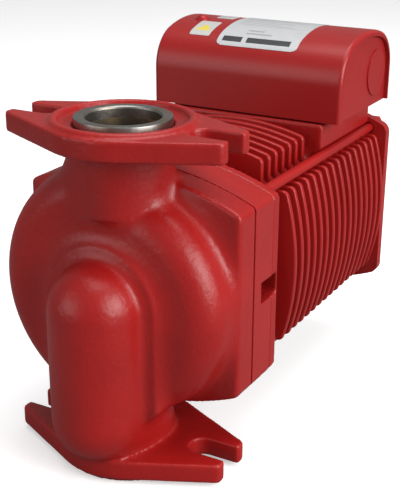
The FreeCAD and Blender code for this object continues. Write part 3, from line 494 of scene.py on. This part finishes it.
brassPlate = skinMaterial("brassPlate", metalSkin,
                          {"Base": (0.68, 0.47, 0.2, 1), "Stain": (0.4, 0.25, 0.1, 1), "Stain Amount": 0.3,
                           "Roughness": 0.22, "Line Scale": 800}, (0.1, 0.0001), metallic=1.0)
copperWire = skinMaterial("copperWire", metalSkin,
                          {"Base": (0.55, 0.2, 0.07, 1), "Stain": (0.3, 0.09, 0.03, 1), "Stain Amount": 0.5,
                           "Roughness": 0.25, "Line Scale": 400}, (0.2, 0.0002), metallic=0.85, coat=0.4)
blackRubber = skinMaterial("blackRubber", softSkin,
                           {"Base": (0.018, 0.018, 0.019, 1), "Speck": (0.05, 0.05, 0.05, 1), "Roughness": 0.6},
                           (0.25, 0.0002))
fibreSheet = skinMaterial("fibreSheet", softSkin,
                          {"Base": (0.12, 0.11, 0.1, 1), "Speck": (0.3, 0.28, 0.25, 1), "Speck Amount": 0.7,
                           "Roughness": 0.75, "Tooth Scale": 500}, (0.4, 0.0003))
ceramicWhite = skinMaterial("ceramicWhite", softSkin,
                            {"Base": (0.8, 0.78, 0.72, 1), "Speck": (0.7, 0.66, 0.58, 1), "Speck Amount": 0.2,
                             "Roughness": 0.12}, (0.05, 0.0001))
lappedCarbon = skinMaterial("lappedCarbon", softSkin,
                            {"Base": (0.03, 0.03, 0.033, 1), "Speck": (0.09, 0.09, 0.095, 1), "Roughness": 0.3},
                            (0.1, 0.0001))
impellerPlastic = skinMaterial("impellerPlastic", softSkin,
                               {"Base": (0.035, 0.035, 0.038, 1), "Speck": (0.1, 0.1, 0.1, 1), "Roughness": 0.4,
                                "Tooth Scale": 350}, (0.2, 0.0002))
blockPlastic = skinMaterial("blockPlastic", softSkin,
                            {"Base": (0.03, 0.03, 0.032, 1), "Speck": (0.07, 0.07, 0.07, 1), "Roughness": 0.5},
                            (0.2, 0.0002))
wireJacket = skinMaterial("wireJacket", softSkin,
                          {"Base": (0.02, 0.02, 0.022, 1), "Speck": (0.05, 0.05, 0.05, 1), "Roughness": 0.35},
                          (0.1, 0.0001))
greenEnamel = skinMaterial("greenEnamel", softSkin,
                           {"Base": (0.02, 0.2, 0.05, 1), "Speck": (0.05, 0.3, 0.1, 1), "Speck Amount": 0.2,
                            "Roughness": 0.3}, (0.1, 0.0001))
print("finishes ready")


# Volute casing

volute = {"voxel": 0.95 * mm, "cornerRounds": 110, "edgeRounds": 3, "elbowFill": 0.4, "most": 185000,
          "boreRadius": 16.5 * mm, "liningLow": (5 * mm, 13 * mm), "liningHigh": (130 * mm, faceTop - 5 * mm),
          "liningOut": 0.3 * mm, "liningIn": 0.15 * mm, "chamberRadius": 49 * mm, "chamberFront": -16 * mm,
          "chamberBack": 19.5 * mm, "elbowFront": -21 * mm, "elbowTop": 104 * mm,
          "collarRadius": 21.5 * mm, "collarDepth": 6 * mm, "collarGap": 0.55 * mm, "flangeBand": 12.5 * mm}


flare = {"top": 152 * mm, "foot": 120 * mm, "leftTop": 25 * mm, "leftFoot": 36 * mm, "right": 21 * mm,
         "deep": 20.5 * mm}


def voluteGuard(co):  # 0 holds a machined face, 1 lets a cast corner fill
    z = co[:, 2]
    fromFace = np.minimum(z, faceTop - z)
    flange = np.clip((fromFace - volute["flangeBand"]) / (4 * mm), 0.0, 1.0)
    seam = np.clip((plateLow.y + 8 * mm - co[:, 1]) / (4 * mm), 0.0, 1.0)
    radius = np.hypot(co[:, 0], co[:, 2] - axisHeight)
    chamber = (radius < volute["chamberRadius"]) & (co[:, 1] > volute["chamberFront"])
    inside = np.where(chamber & (co[:, 1] < volute["chamberBack"]), 0.0, 1.0)
    elbow = np.where((co[:, 1] < volute["elbowFront"]) & (z < volute["elbowTop"]), volute["elbowFill"], 1.0)
    return np.clip(flange, 0.04, 1.0) * np.clip(seam, 0.0, 1.0) * inside * elbow


def neckFlare():  # the neck widens to the left as it comes down into the spiral, outside the water way
    points, faces = [], []
    rings, sides = 12, 64
    for inner in (False, True):
        for ring in range(rings + 1):
            share = ring / rings
            z = flare["top"] + (flare["foot"] - flare["top"]) * share
            ease = share * share * (3 - 2 * share)
            left = flare["leftTop"] + (flare["leftFoot"] - flare["leftTop"]) * ease
            for side in range(sides):
                angle = 2 * math.pi * side / sides
                across, along = math.cos(angle), math.sin(angle)
                if inner:
                    points.append((volute["boreRadius"] * 1.1 * across, volute["boreRadius"] * 1.1 * along, z))
                else:
                    reach = left if across < 0 else flare["right"]
                    points.append((reach * across, flare["deep"] * along, z))
    layer = (rings + 1) * sides
    for start in (0, layer):
        for ring in range(rings):
            for side in range(sides):
                after = (side + 1) % sides
                here = start + ring * sides
                faces.append((here + side, here + after, here + sides + after, here + sides + side))
    for ring in (0, rings):
        for side in range(sides):
            here, after = ring * sides + side, ring * sides + (side + 1) % sides
            faces.append((here, after, layer + after, layer + here))
    return fixNormals(addObject("flare", meshFrom("flare", points, faces)))


def buildVolute():
    casting = mergedCopy("volute_casing", "volute_casting")
    for end, inward in ((0.0, 1), (faceTop, -1)):
        boolean(casting, rod("collarCut", volute["collarRadius"] + volute["collarGap"],
                             (0, 0, end - inward * mm), (0, 0, end + inward * volute["collarDepth"]), 96),
                "DIFFERENCE")
    boolean(casting, neckFlare(), "UNION")
    voxelSkin(casting, volute["voxel"])
    castSoften(casting, volute["cornerRounds"], volute["edgeRounds"], voluteGuard)
    thin(casting, volute["most"])
    finishPiece(casting, castEnamel, ("volute_casing",))
    print("volute casting:", len(casting.data.polygons), "faces")
    return casting


def buildCollars():
    inner, outer, soft = volute["boreRadius"], volute["collarRadius"], 0.35 * mm
    deep = volute["collarDepth"]
    for name, end, inward in (("suction_collar", 0.0, 1), ("discharge_collar", faceTop, -1)):
        rise = [(inner, end + inward * deep), (inner, end + inward * 1.0 * mm),
                (inner + 0.3 * mm, end + inward * 0.4 * mm),
                (inner + 0.9 * mm, end), (outer - soft, end), (outer - 0.1 * mm, end + inward * 0.1 * mm),
                (outer, end + inward * soft), (outer, end + inward * deep)]
        collar = smoothShade(lathe(name, rise, (0, 0, 0)), 25)
        finishPiece(collar, turnedIron)
    near, far = inner - volute["liningIn"], inner + volute["liningOut"]
    for name, (low, high) in (("suction_bore_lining", volute["liningLow"]),
                              ("discharge_bore_lining", volute["liningHigh"])):
        wall = [(near, low), (far, low), (far, high), (near, high)]
        finishPiece(smoothShade(lathe(name, wall, (0, 0, 0)), 25), boreIron)
    print("collars turned")


buildVolute()
buildCollars()


# Motor housing

motor = {"halfWidth": 44 * mm, "coreRound": 20 * mm, "bore": 40.5 * mm, "flangeThick": 5.9 * mm,
         "plateHalf": 55 * mm, "plateSide": 43 * mm, "plateCrown": 12.3 * mm, "plateRound": 3 * mm,
         "boltAcross": 45.5 * mm, "boltRise": 41.5 * mm, "boltDrop": 37.5 * mm, "boltHole": 3.0 * mm,
         "seatRoot": 36 * mm, "leadHole": 6.5 * mm, "notchIn": 38 * mm, "notchOut": 58 * mm, "seatRound": 1.5 * mm,
         "pedestalFront": 112 * mm, "pedestalHalf": 45 * mm, "voxel": 0.9 * mm, "most": 150000,
         "weepHalf": 5.2 * mm, "weepDeep": 5 * mm}
fins = {"thick": 2.75 * mm, "pitch": 7.75 * mm, "count": 16, "topCount": 7, "reach": 57 * mm,
        "endReach": 51 * mm, "half": 38.4 * mm, "topReach": 57.5 * mm, "topEnd": 52 * mm, "topHalf": 38 * mm,
        "corner": 3 * mm, "sunk": 1.0 * mm, "softEdge": 1.0 * mm, "wander": 0.06 * mm}
housingBack = housingHigh.y
housingFront = housingLow.y


def arcThrough(left, top, right, steps):
    chord = (right - left) / 2
    mid = (left + right) / 2
    bow = top - mid
    radius = (chord.length_squared + bow.length_squared) / (2 * bow.length)
    centre = top - bow.normalized() * radius
    half = math.asin(min(1.0, chord.length / radius))
    points = []
    for step in range(steps + 1):
        angle = -half + 2 * half * step / steps
        out = bow.normalized() * radius * math.cos(angle)
        points.append(centre + out + chord.normalized() * radius * math.sin(angle))
    return points


def roundCorner(before, corner, after, radius, steps=5):
    inAlong, outAlong = (before - corner).normalized(), (after - corner).normalized()
    half = math.acos(max(-1.0, min(1.0, inAlong.dot(outAlong)))) / 2
    reach = radius / math.tan(half)
    first, last = corner + inAlong * reach, corner + outAlong * reach
    centre = corner + (inAlong + outAlong).normalized() * radius / math.sin(half)
    points = []
    for step in range(steps + 1):
        mixed = first.lerp(last, step / steps) - centre
        points.append(centre + mixed.normalized() * radius)
    return points


def bowedOutline(y, half, side, crown, corner, arcSteps=28):
    places = [Vector((-half, y, axisHeight - side)), Vector((-half, y, axisHeight + side)),
              Vector((half, y, axisHeight + side)), Vector((half, y, axisHeight - side))]
    top = arcThrough(places[1], Vector((0, y, axisHeight + side + crown)), places[2], arcSteps)
    bottom = arcThrough(places[3], Vector((0, y, axisHeight - side - crown)), places[0], arcSteps)
    outline = []
    outline += roundCorner(bottom[-2], places[0], places[1], corner)
    outline += roundCorner(places[0], places[1], top[1], corner)
    outline += [p for p in top if abs(p.x) < half - corner * 1.3]
    outline += roundCorner(top[-2], places[2], places[3], corner)
    outline += roundCorner(places[2], places[3], bottom[1], corner)
    outline += [p for p in bottom if abs(p.x) < half - corner * 1.3]
    return outline


def boxOutline(y, left, right, low, high, corner):
    places = [Vector((left, y, low)), Vector((left, y, high)), Vector((right, y, high)), Vector((right, y, low))]
    outline = []
    for number in range(4):
        outline += roundCorner(places[number - 1], places[number], places[(number + 1) % 4], corner, 6)
    return outline


def boltSpots():
    heights = (-motor["boltDrop"], motor["boltRise"])
    return [(x * motor["boltAcross"], axisHeight + z) for x in (-1, 1) for z in heights]


def housingGuard(co):
    front = np.clip((co[:, 1] - housingFront - motor["flangeThick"] + 0.5 * mm) / (2 * mm), 0.0, 1.0)
    back = np.clip((housingBack - 1 * mm - co[:, 1]) / (3 * mm), 0.0, 1.0)
    bore = np.where(np.hypot(co[:, 0], co[:, 2] - axisHeight) < motor["bore"] + 1.5 * mm, 0.0, 1.0)
    return front * back * bore


def buildHousing():
    flangeBack = housingFront + motor["flangeThick"]
    plate = prism("flange", bowedOutline(housingFront, motor["plateHalf"], motor["plateSide"], motor["plateCrown"],
                                         motor["plateRound"]), (0, motor["flangeThick"], 0))
    core = prism("core", boxOutline(flangeBack - mm, -motor["halfWidth"], motor["halfWidth"],
                                    axisHeight - motor["halfWidth"], axisHeight + motor["halfWidth"],
                                    motor["coreRound"]), (0, housingBack - flangeBack + mm, 0))
    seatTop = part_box("box_gasket")[0].z
    seat = prism("seat", boxOutline(motor["pedestalFront"], -motor["pedestalHalf"], motor["pedestalHalf"],
                                    axisHeight + motor["seatRoot"], seatTop, motor["seatRound"]),
                 (0, housingBack - motor["pedestalFront"], 0))
    shell = plate
    for part in (core, seat):
        boolean(shell, part, "UNION")
    for x, z in boltSpots():
        boolean(shell, rod("hole", motor["boltHole"], (x, housingFront - mm, z), (x, housingBack + mm, z), 24),
                "DIFFERENCE")
    boolean(shell, rod("bore", motor["bore"], (0, housingFront - mm, axisHeight), (0, housingBack + mm, axisHeight),
                       160), "DIFFERENCE")
    leadLow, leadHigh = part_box("lead_grommet")
    leadX, leadY = (leadLow.x + leadHigh.x) / 2, (leadLow.y + leadHigh.y) / 2
    boolean(shell, rod("leadHole", motor["leadHole"], (leadX, leadY, axisHeight + 30 * mm),
                       (leadX, leadY, seatTop + mm), 32), "DIFFERENCE")
    for side in (-1, 1):
        ends = sorted([side * motor["notchIn"], side * motor["notchOut"]])
        boolean(shell, slab("notch", (ends[0], housingFront - mm, axisHeight - motor["weepHalf"]),
                            (ends[1], housingFront + motor["weepDeep"], axisHeight + motor["weepHalf"])),
                "DIFFERENCE")
    shell.name = "motor_barrel"
    voxelSkin(shell, motor["voxel"])
    castSoften(shell, 24, 2, housingGuard)
    thin(shell, motor["most"])
    finishPiece(shell, castEnamel, ("motor_housing",))
    print("motor barrel:", len(shell.data.polygons), "faces")


# The barrel's rounded outline, a little inside its skin, as (out, along) from one end to the other
def finFoot(half, steps=8):
    centre = motor["halfWidth"] - motor["coreRound"]
    radius = motor["coreRound"] - fins["sunk"]
    last = math.asin((half - centre) / radius)
    bend = [(centre + radius * math.cos(last * step / steps), centre + radius * math.sin(last * step / steps))
            for step in range(steps + 1)]
    return [(out, -along) for out, along in reversed(bend)] + bend


def sideFinOutline(y):
    low, high = axisHeight - fins["half"], axisHeight + fins["half"]
    arc = arcThrough(Vector((fins["endReach"], y, high)), Vector((fins["reach"], y, axisHeight)),
                     Vector((fins["endReach"], y, low)), 22)
    outline = [Vector((out, y, axisHeight + along)) for out, along in finFoot(fins["half"])]
    outline += roundCorner(outline[-1], arc[0], arc[1], fins["corner"])
    outline += arc[2:-2]
    outline += roundCorner(arc[-2], arc[-1], outline[0], fins["corner"])
    return outline


def topFinOutline(y):
    shoulder = axisHeight + fins["topEnd"]
    arc = arcThrough(Vector((-fins["topHalf"], y, shoulder)), Vector((0, y, axisHeight + fins["topReach"])),
                     Vector((fins["topHalf"], y, shoulder)), 22)
    outline = [Vector((-along, y, axisHeight + out)) for out, along in finFoot(fins["topHalf"])]
    outline += roundCorner(outline[-1], arc[0], arc[1], fins["corner"])
    outline += arc[2:-2]
    outline += roundCorner(arc[-2], arc[-1], outline[0], fins["corner"])
    return outline


def buildFins(rowTree):
    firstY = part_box("right_fins")[0].y
    rows = [("right", sideFinOutline(firstY), fins["count"], None),
            ("left", sideFinOutline(firstY), fins["count"], "X"),
            ("top", topFinOutline(firstY), fins["topCount"], None),
            ("bottom", topFinOutline(firstY), fins["count"], "Z")]
    for place, outline, count, flip in rows:
        name = place + "_fin_row"
        fin = prism(name, outline, (0, fins["thick"], 0))
        if flip:
            for vert in fin.data.vertices:
                if flip == "X":
                    vert.co.x = -vert.co.x
                else:
                    vert.co.z = 2 * axisHeight - vert.co.z
            fixNormals(fin)
        roundEdges(fin, fins["softEdge"], 3, 40)
        repeat(fin, rowTree, Count=count, Step=(0, fins["pitch"], 0), Wander=fins["wander"], Seed=5,
               Finish=smoothEnamel)
        smoothShade(fin, 40)
        finishPiece(fin, smoothEnamel, (place + "_fins",))
        print(name, len(fin.data.polygons), "faces")


rowTree = makeRowTree()
buildHousing()
buildFins(rowTree)


# Plates, box and small parts

def softCopy(nodeName, name, finish, width, body=pumpFrame, angle=30, segments=2):
    piece = mergedCopy(nodeName, name)
    roundEdges(piece, width, segments, angle)
    smoothShade(piece, 40)
    even = piece.modifiers.new("evenShade", "WEIGHTED_NORMAL")
    even.keep_sharp = True
    bake(piece)
    return finishPiece(piece, finish, (nodeName,), body)


softCopy("adapter_plate", "adapter_casting", castEnamel, 0.5 * mm)
softCopy("rear_cover", "rear_cover_casting", castEnamel, 0.7 * mm)
softCopy("terminal_box_cover", "box_cover_shell", sheetEnamel, 0.3 * mm, angle=35)
softCopy("terminal_box_base", "box_base_shell", sheetEnamel, 0.4 * mm)
softCopy("knockout_discs", "knockout_plugs", sheetEnamel, 0.4 * mm)
softCopy("through_bolts", "through_bolt_set", smoothEnamel, 0.35 * mm)
softCopy("bolt_washers", "washer_set", smoothEnamel, 0.2 * mm)
print("plates and box softened")

nodeFinish = {
    "cover_screw": smoothEnamel, "volute_gasket": fibreSheet, "box_gasket": fibreSheet, "lead_grommet": blackRubber,
    "shaft_slinger": blackRubber, "seal_cup": blackRubber, "seal_bellows": blackRubber, "seal_seat": ceramicWhite,
    "seal_carbon_ring": lappedCarbon, "seal_retainer": brightSteel, "seal_spring": brightSteel,
    "impeller": impellerPlastic, "impeller_washer": brightSteel, "impeller_nut": brightSteel,
    "motor_shaft": brightSteel, "front_bearing_outer_race": bearingSteel, "front_bearing_inner_race": bearingSteel,
    "front_bearing_balls": bearingSteel, "front_bearing_cage": brassPlate, "rear_bearing_outer_race": bearingSteel,
    "rear_bearing_inner_race": bearingSteel, "rear_bearing_balls": bearingSteel, "rear_bearing_cage": brassPlate,
    "snap_ring": bearingSteel, "wave_spring": bearingSteel, "stator_core": laminatedSteel,
    "stator_windings": copperWire, "rotor_core": laminatedSteel, "rotor_cage": castAluminium,
    "box_screws": brightSteel, "motor_leads": wireJacket, "terminal_block": blockPlastic,
    "terminal_screws": brassPlate, "run_capacitor": canAluminium, "capacitor_clip": brightSteel,
    "ground_screw": greenEnamel,
}
for nodeName, finish in nodeFinish.items():
    obj = nodes[nodeName]
    if not obj.material_slots:
        obj.data.materials.append(finish)
    for materialSlot in obj.material_slots:
        materialSlot.material = finish
print("inner parts finished")


# Labels on the box

box = {"crown": 70 * mm, "corner": 21 * mm, "thick": 0.18 * mm, "lift": 0.02 * mm}


def archPoint(along):  # a place on the box's arch, measured from the ridge towards the back
    half = (coverHigh.y - coverLow.y) / 2
    middle = (coverHigh.y + coverLow.y) / 2
    shift = half - box["corner"]
    drop = math.sqrt((box["crown"] - box["corner"]) ** 2 - shift ** 2)
    crownZ = coverHigh.z - box["crown"]
    lean = math.atan2(shift, drop)
    side = 1 if along >= 0 else -1
    angle = abs(along) / box["crown"]
    if angle <= lean:
        out = Vector((0, side * math.sin(angle), math.cos(angle)))
        return Vector((0, middle, crownZ)) + out * box["crown"], out
    angle = lean + (abs(along) - lean * box["crown"]) / box["corner"]
    out = Vector((0, side * math.sin(angle), math.cos(angle)))
    return Vector((0, middle + side * shift, crownZ + drop)) + out * box["corner"], out


def buildLabel(name, left, right, front, back, corner, finish, node, rows=48, columns=12):
    points, faces, spots = [], [], []
    for layer in (box["lift"], box["lift"] + box["thick"]):
        for row in range(rows + 1):
            along = front + (back - front) * row / rows
            edge = min(along - front, back - along)
            trim = corner - math.sqrt(max(0.0, corner ** 2 - (corner - edge) ** 2)) if edge < corner else 0.0
            place, out = archPoint(along)
            for column in range(columns + 1):
                x = left + trim + (right - left - 2 * trim) * column / columns
                points.append(place + out * layer + Vector((x, 0, 0)))
                spots.append(((x - left) / (right - left), (along - front) / (back - front)))
    width = columns + 1
    sheet = (rows + 1) * width

    def quad(a, b, c, d):
        faces.append((a, b, c, d))

    for row in range(rows):
        for column in range(columns):
            first = row * width + column
            quad(first, first + 1, first + width + 1, first + width)
            top = sheet + first
            quad(top, top + width, top + width + 1, top + 1)
    rim = [column for column in range(width)]
    rim += [row * width + columns for row in range(1, rows + 1)]
    rim += [rows * width + column for column in range(columns - 1, -1, -1)]
    rim += [row * width for row in range(rows - 1, 0, -1)]
    for number, first in enumerate(rim):
        second = rim[(number + 1) % len(rim)]
        quad(first, sheet + first, sheet + second, second)
    mesh = meshFrom(name, points, faces)
    layer = mesh.uv_layers.new(name="print")
    for loop in mesh.loops:
        layer.data[loop.index].uv = spots[loop.vertex_index]
    label = addObject(name, mesh)
    work = bmesh.new()
    work.from_mesh(mesh)
    bmesh.ops.recalc_face_normals(work, faces=work.faces)
    work.to_mesh(mesh)
    work.free()
    smoothShade(label, 40)
    return finishPiece(label, finish, (node,))


# Marks are (left, right, low, high, colour) blocks in the label's own 0 to 1 space
def printedMaterial(name, paper, marks):
    material = bpy.data.materials.new(name)
    material.use_nodes = True
    tree = material.node_tree
    link = tree.links.new
    shader = tree.nodes["Principled BSDF"]
    shader.inputs["Coat Weight"].default_value = 0.3
    split = addNode(tree, "ShaderNodeSeparateXYZ")
    link(addNode(tree, "ShaderNodeUVMap", uv_map="print").outputs["UV"], split.inputs["Vector"])
    fleck = noiseNode(tree, addNode(tree, "ShaderNodeTexCoord").outputs["Object"], 300, 2)
    ground = addNode(tree, "ShaderNodeVectorMath", operation="SCALE")
    ground.inputs[0].default_value = paper
    feed(tree, ground.inputs["Scale"], rangeNode(tree, fleck, 0, 1, 0.94, 1.03))
    colour = ground.outputs["Vector"]
    for left, right, low, high, ink in marks:
        across = mathNode(tree, "COMPARE", split.outputs["X"], (left + right) / 2, (right - left) / 2)
        along = mathNode(tree, "COMPARE", split.outputs["Y"], (low + high) / 2, (high - low) / 2)
        colour = mixNode(tree, mathNode(tree, "MULTIPLY", across, along), colour, (*ink, 1))
    link(colour, shader.inputs["Base Color"])
    link(rangeNode(tree, fleck, 0, 1, 0.3, 0.45), shader.inputs["Roughness"])
    return material


ink = (0.03, 0.03, 0.035)
greyInk = (0.35, 0.35, 0.36)
plateMarks = [(0.06, 0.3, 0.06, 0.14, ink), (0.36, 0.9, 0.06, 0.14, ink), (0.3, 0.62, 0.2, 0.23, greyInk),
              (0.3, 0.5, 0.27, 0.3, greyInk), (0.06, 0.9, 0.42, 0.425, greyInk)]
plateMarks += [(0.08, 0.08 + width, 0.46 + 0.06 * number, 0.475 + 0.06 * number, greyInk)
               for number, width in enumerate((0.7, 0.52, 0.66, 0.4, 0.74, 0.58, 0.3))]
plateInk = printedMaterial("nameplateFilm", (0.55, 0.56, 0.57), plateMarks)
triangle = [(0.5 - width / 2, 0.5 + width / 2, 0.26 + 0.06 * row, 0.33 + 0.06 * row, (0.75, 0.6, 0.08))
            for row, width in enumerate((0.7, 0.6, 0.5, 0.4, 0.3, 0.2, 0.1))]
warningInk = printedMaterial("warningFilm", (0.56, 0.56, 0.54), triangle)
smallInk = printedMaterial("smallFilm", (0.56, 0.56, 0.56),
                           [(0.15, 0.85, 0.3, 0.36, greyInk), (0.15, 0.6, 0.5, 0.56, greyInk)])
buildLabel("nameplate_film", -20 * mm, 26 * mm, -32 * mm, 15 * mm, 3 * mm, plateInk, "nameplate")
buildLabel("warning_film", -38 * mm, -26 * mm, -27 * mm, -11 * mm, 0.8 * mm, warningInk, "warning_label")
buildLabel("small_film", -34 * mm, -24 * mm, -3 * mm, 8 * mm, 0.8 * mm, smallInk, "small_label")
print("labels laid")


# Studio

studio = {"azimuth": 29.21, "elevation": 21.28, "roll": 0.26, "distance": 0.47701, "right": 0.03306, "up": 0.01803,
          "lens": 75.66, "sky": 0.27, "backdrop": 0.95, "floorLift": 0.45}


def placeCamera():
    azimuth, elevation, roll = (math.radians(studio[key]) for key in ("azimuth", "elevation", "roll"))
    back = Vector((math.sin(azimuth) * math.cos(elevation), -math.cos(azimuth) * math.cos(elevation),
                   math.sin(elevation)))
    right = Vector((math.cos(azimuth), math.sin(azimuth), 0))
    up = back.cross(right)
    across = right * math.cos(roll) + up * math.sin(roll)
    upward = up * math.cos(roll) - right * math.sin(roll)
    data = bpy.data.cameras.new("studioCamera")
    data.lens = studio["lens"]
    data.sensor_width = 36
    data.clip_start = 0.01
    camera = bpy.data.objects.new("studioCamera", data)
    scene.collection.objects.link(camera)
    turn = Matrix((across, upward, back)).transposed().to_4x4()
    spot = Vector((0, 0, axisHeight)) + back * studio["distance"]
    spot += across * studio["right"] + upward * studio["up"]
    camera.matrix_world = Matrix.Translation(spot) @ turn
    scene.camera = camera


def addLamp(name, place, target, size, power, colour=(1, 1, 1)):
    data = bpy.data.lights.new(name, "AREA")
    data.shape = "RECTANGLE"
    data.size, data.size_y = size
    data.energy = power
    data.color = colour
    lamp = bpy.data.objects.new(name, data)
    scene.collection.objects.link(lamp)
    lamp.location = place
    lamp.rotation_euler = (Vector(target) - Vector(place)).to_track_quat("-Z", "Y").to_euler()


def paleFloor():  # bright where it is seen, dull where it would throw light back up
    material = bpy.data.materials.new("paleFloor")
    material.use_nodes = True
    tree = material.node_tree
    shader = tree.nodes["Principled BSDF"]
    shader.inputs["Base Color"].default_value = (0.9, 0.9, 0.9, 1)
    shader.inputs["Roughness"].default_value = 0.9
    shader.inputs["Specular IOR Level"].default_value = 0.1
    shader.inputs["Emission Color"].default_value = (1, 1, 1, 1)
    shader.inputs["Emission Strength"].default_value = studio["floorLift"]
    dull = addNode(tree, "ShaderNodeBsdfDiffuse")
    dull.inputs["Color"].default_value = (0.25, 0.25, 0.25, 1)
    seen = addNode(tree, "ShaderNodeLightPath")
    choose = addNode(tree, "ShaderNodeMixShader")
    tree.links.new(seen.outputs["Is Camera Ray"], choose.inputs["Fac"])
    tree.links.new(dull.outputs["BSDF"], choose.inputs[1])
    tree.links.new(shader.outputs["BSDF"], choose.inputs[2])
    tree.links.new(choose.outputs["Shader"], tree.nodes["Material Output"].inputs["Surface"])
    return material


def buildStudio():
    placeCamera()
    floor = slab("studio_floor", (-4, -4, -0.02), (4, 4, -0.0001))
    floor.data.materials.append(paleFloor())
    world = bpy.data.worlds.new("studioSky")
    scene.world = world
    world.use_nodes = True
    tree = world.node_tree
    sky = tree.nodes["Background"]
    sky.inputs["Color"].default_value = (1, 1, 1, 1)
    seen = addNode(tree, "ShaderNodeLightPath")
    power = addNode(tree, "ShaderNodeMapRange")
    power.inputs["To Min"].default_value = studio["sky"]
    power.inputs["To Max"].default_value = studio["backdrop"]
    tree.links.new(seen.outputs["Is Camera Ray"], power.inputs["Value"])
    tree.links.new(power.outputs["Result"], sky.inputs["Strength"])
    addLamp("rightBank", (1.1, -0.1, 0.55), (0, 0.05, 0.08), (0.8, 0.8), 15)
    addLamp("topBank", (0.1, 0.2, 1.3), (0, 0.05, 0.08), (1.0, 1.0), 10.5)
    addLamp("frontFill", (-0.7, -1.1, 0.5), (0, 0, 0.08), (1.0, 0.8), 4.5)
    scene.view_settings.view_transform = "Standard"


buildStudio()
print("studio ready")
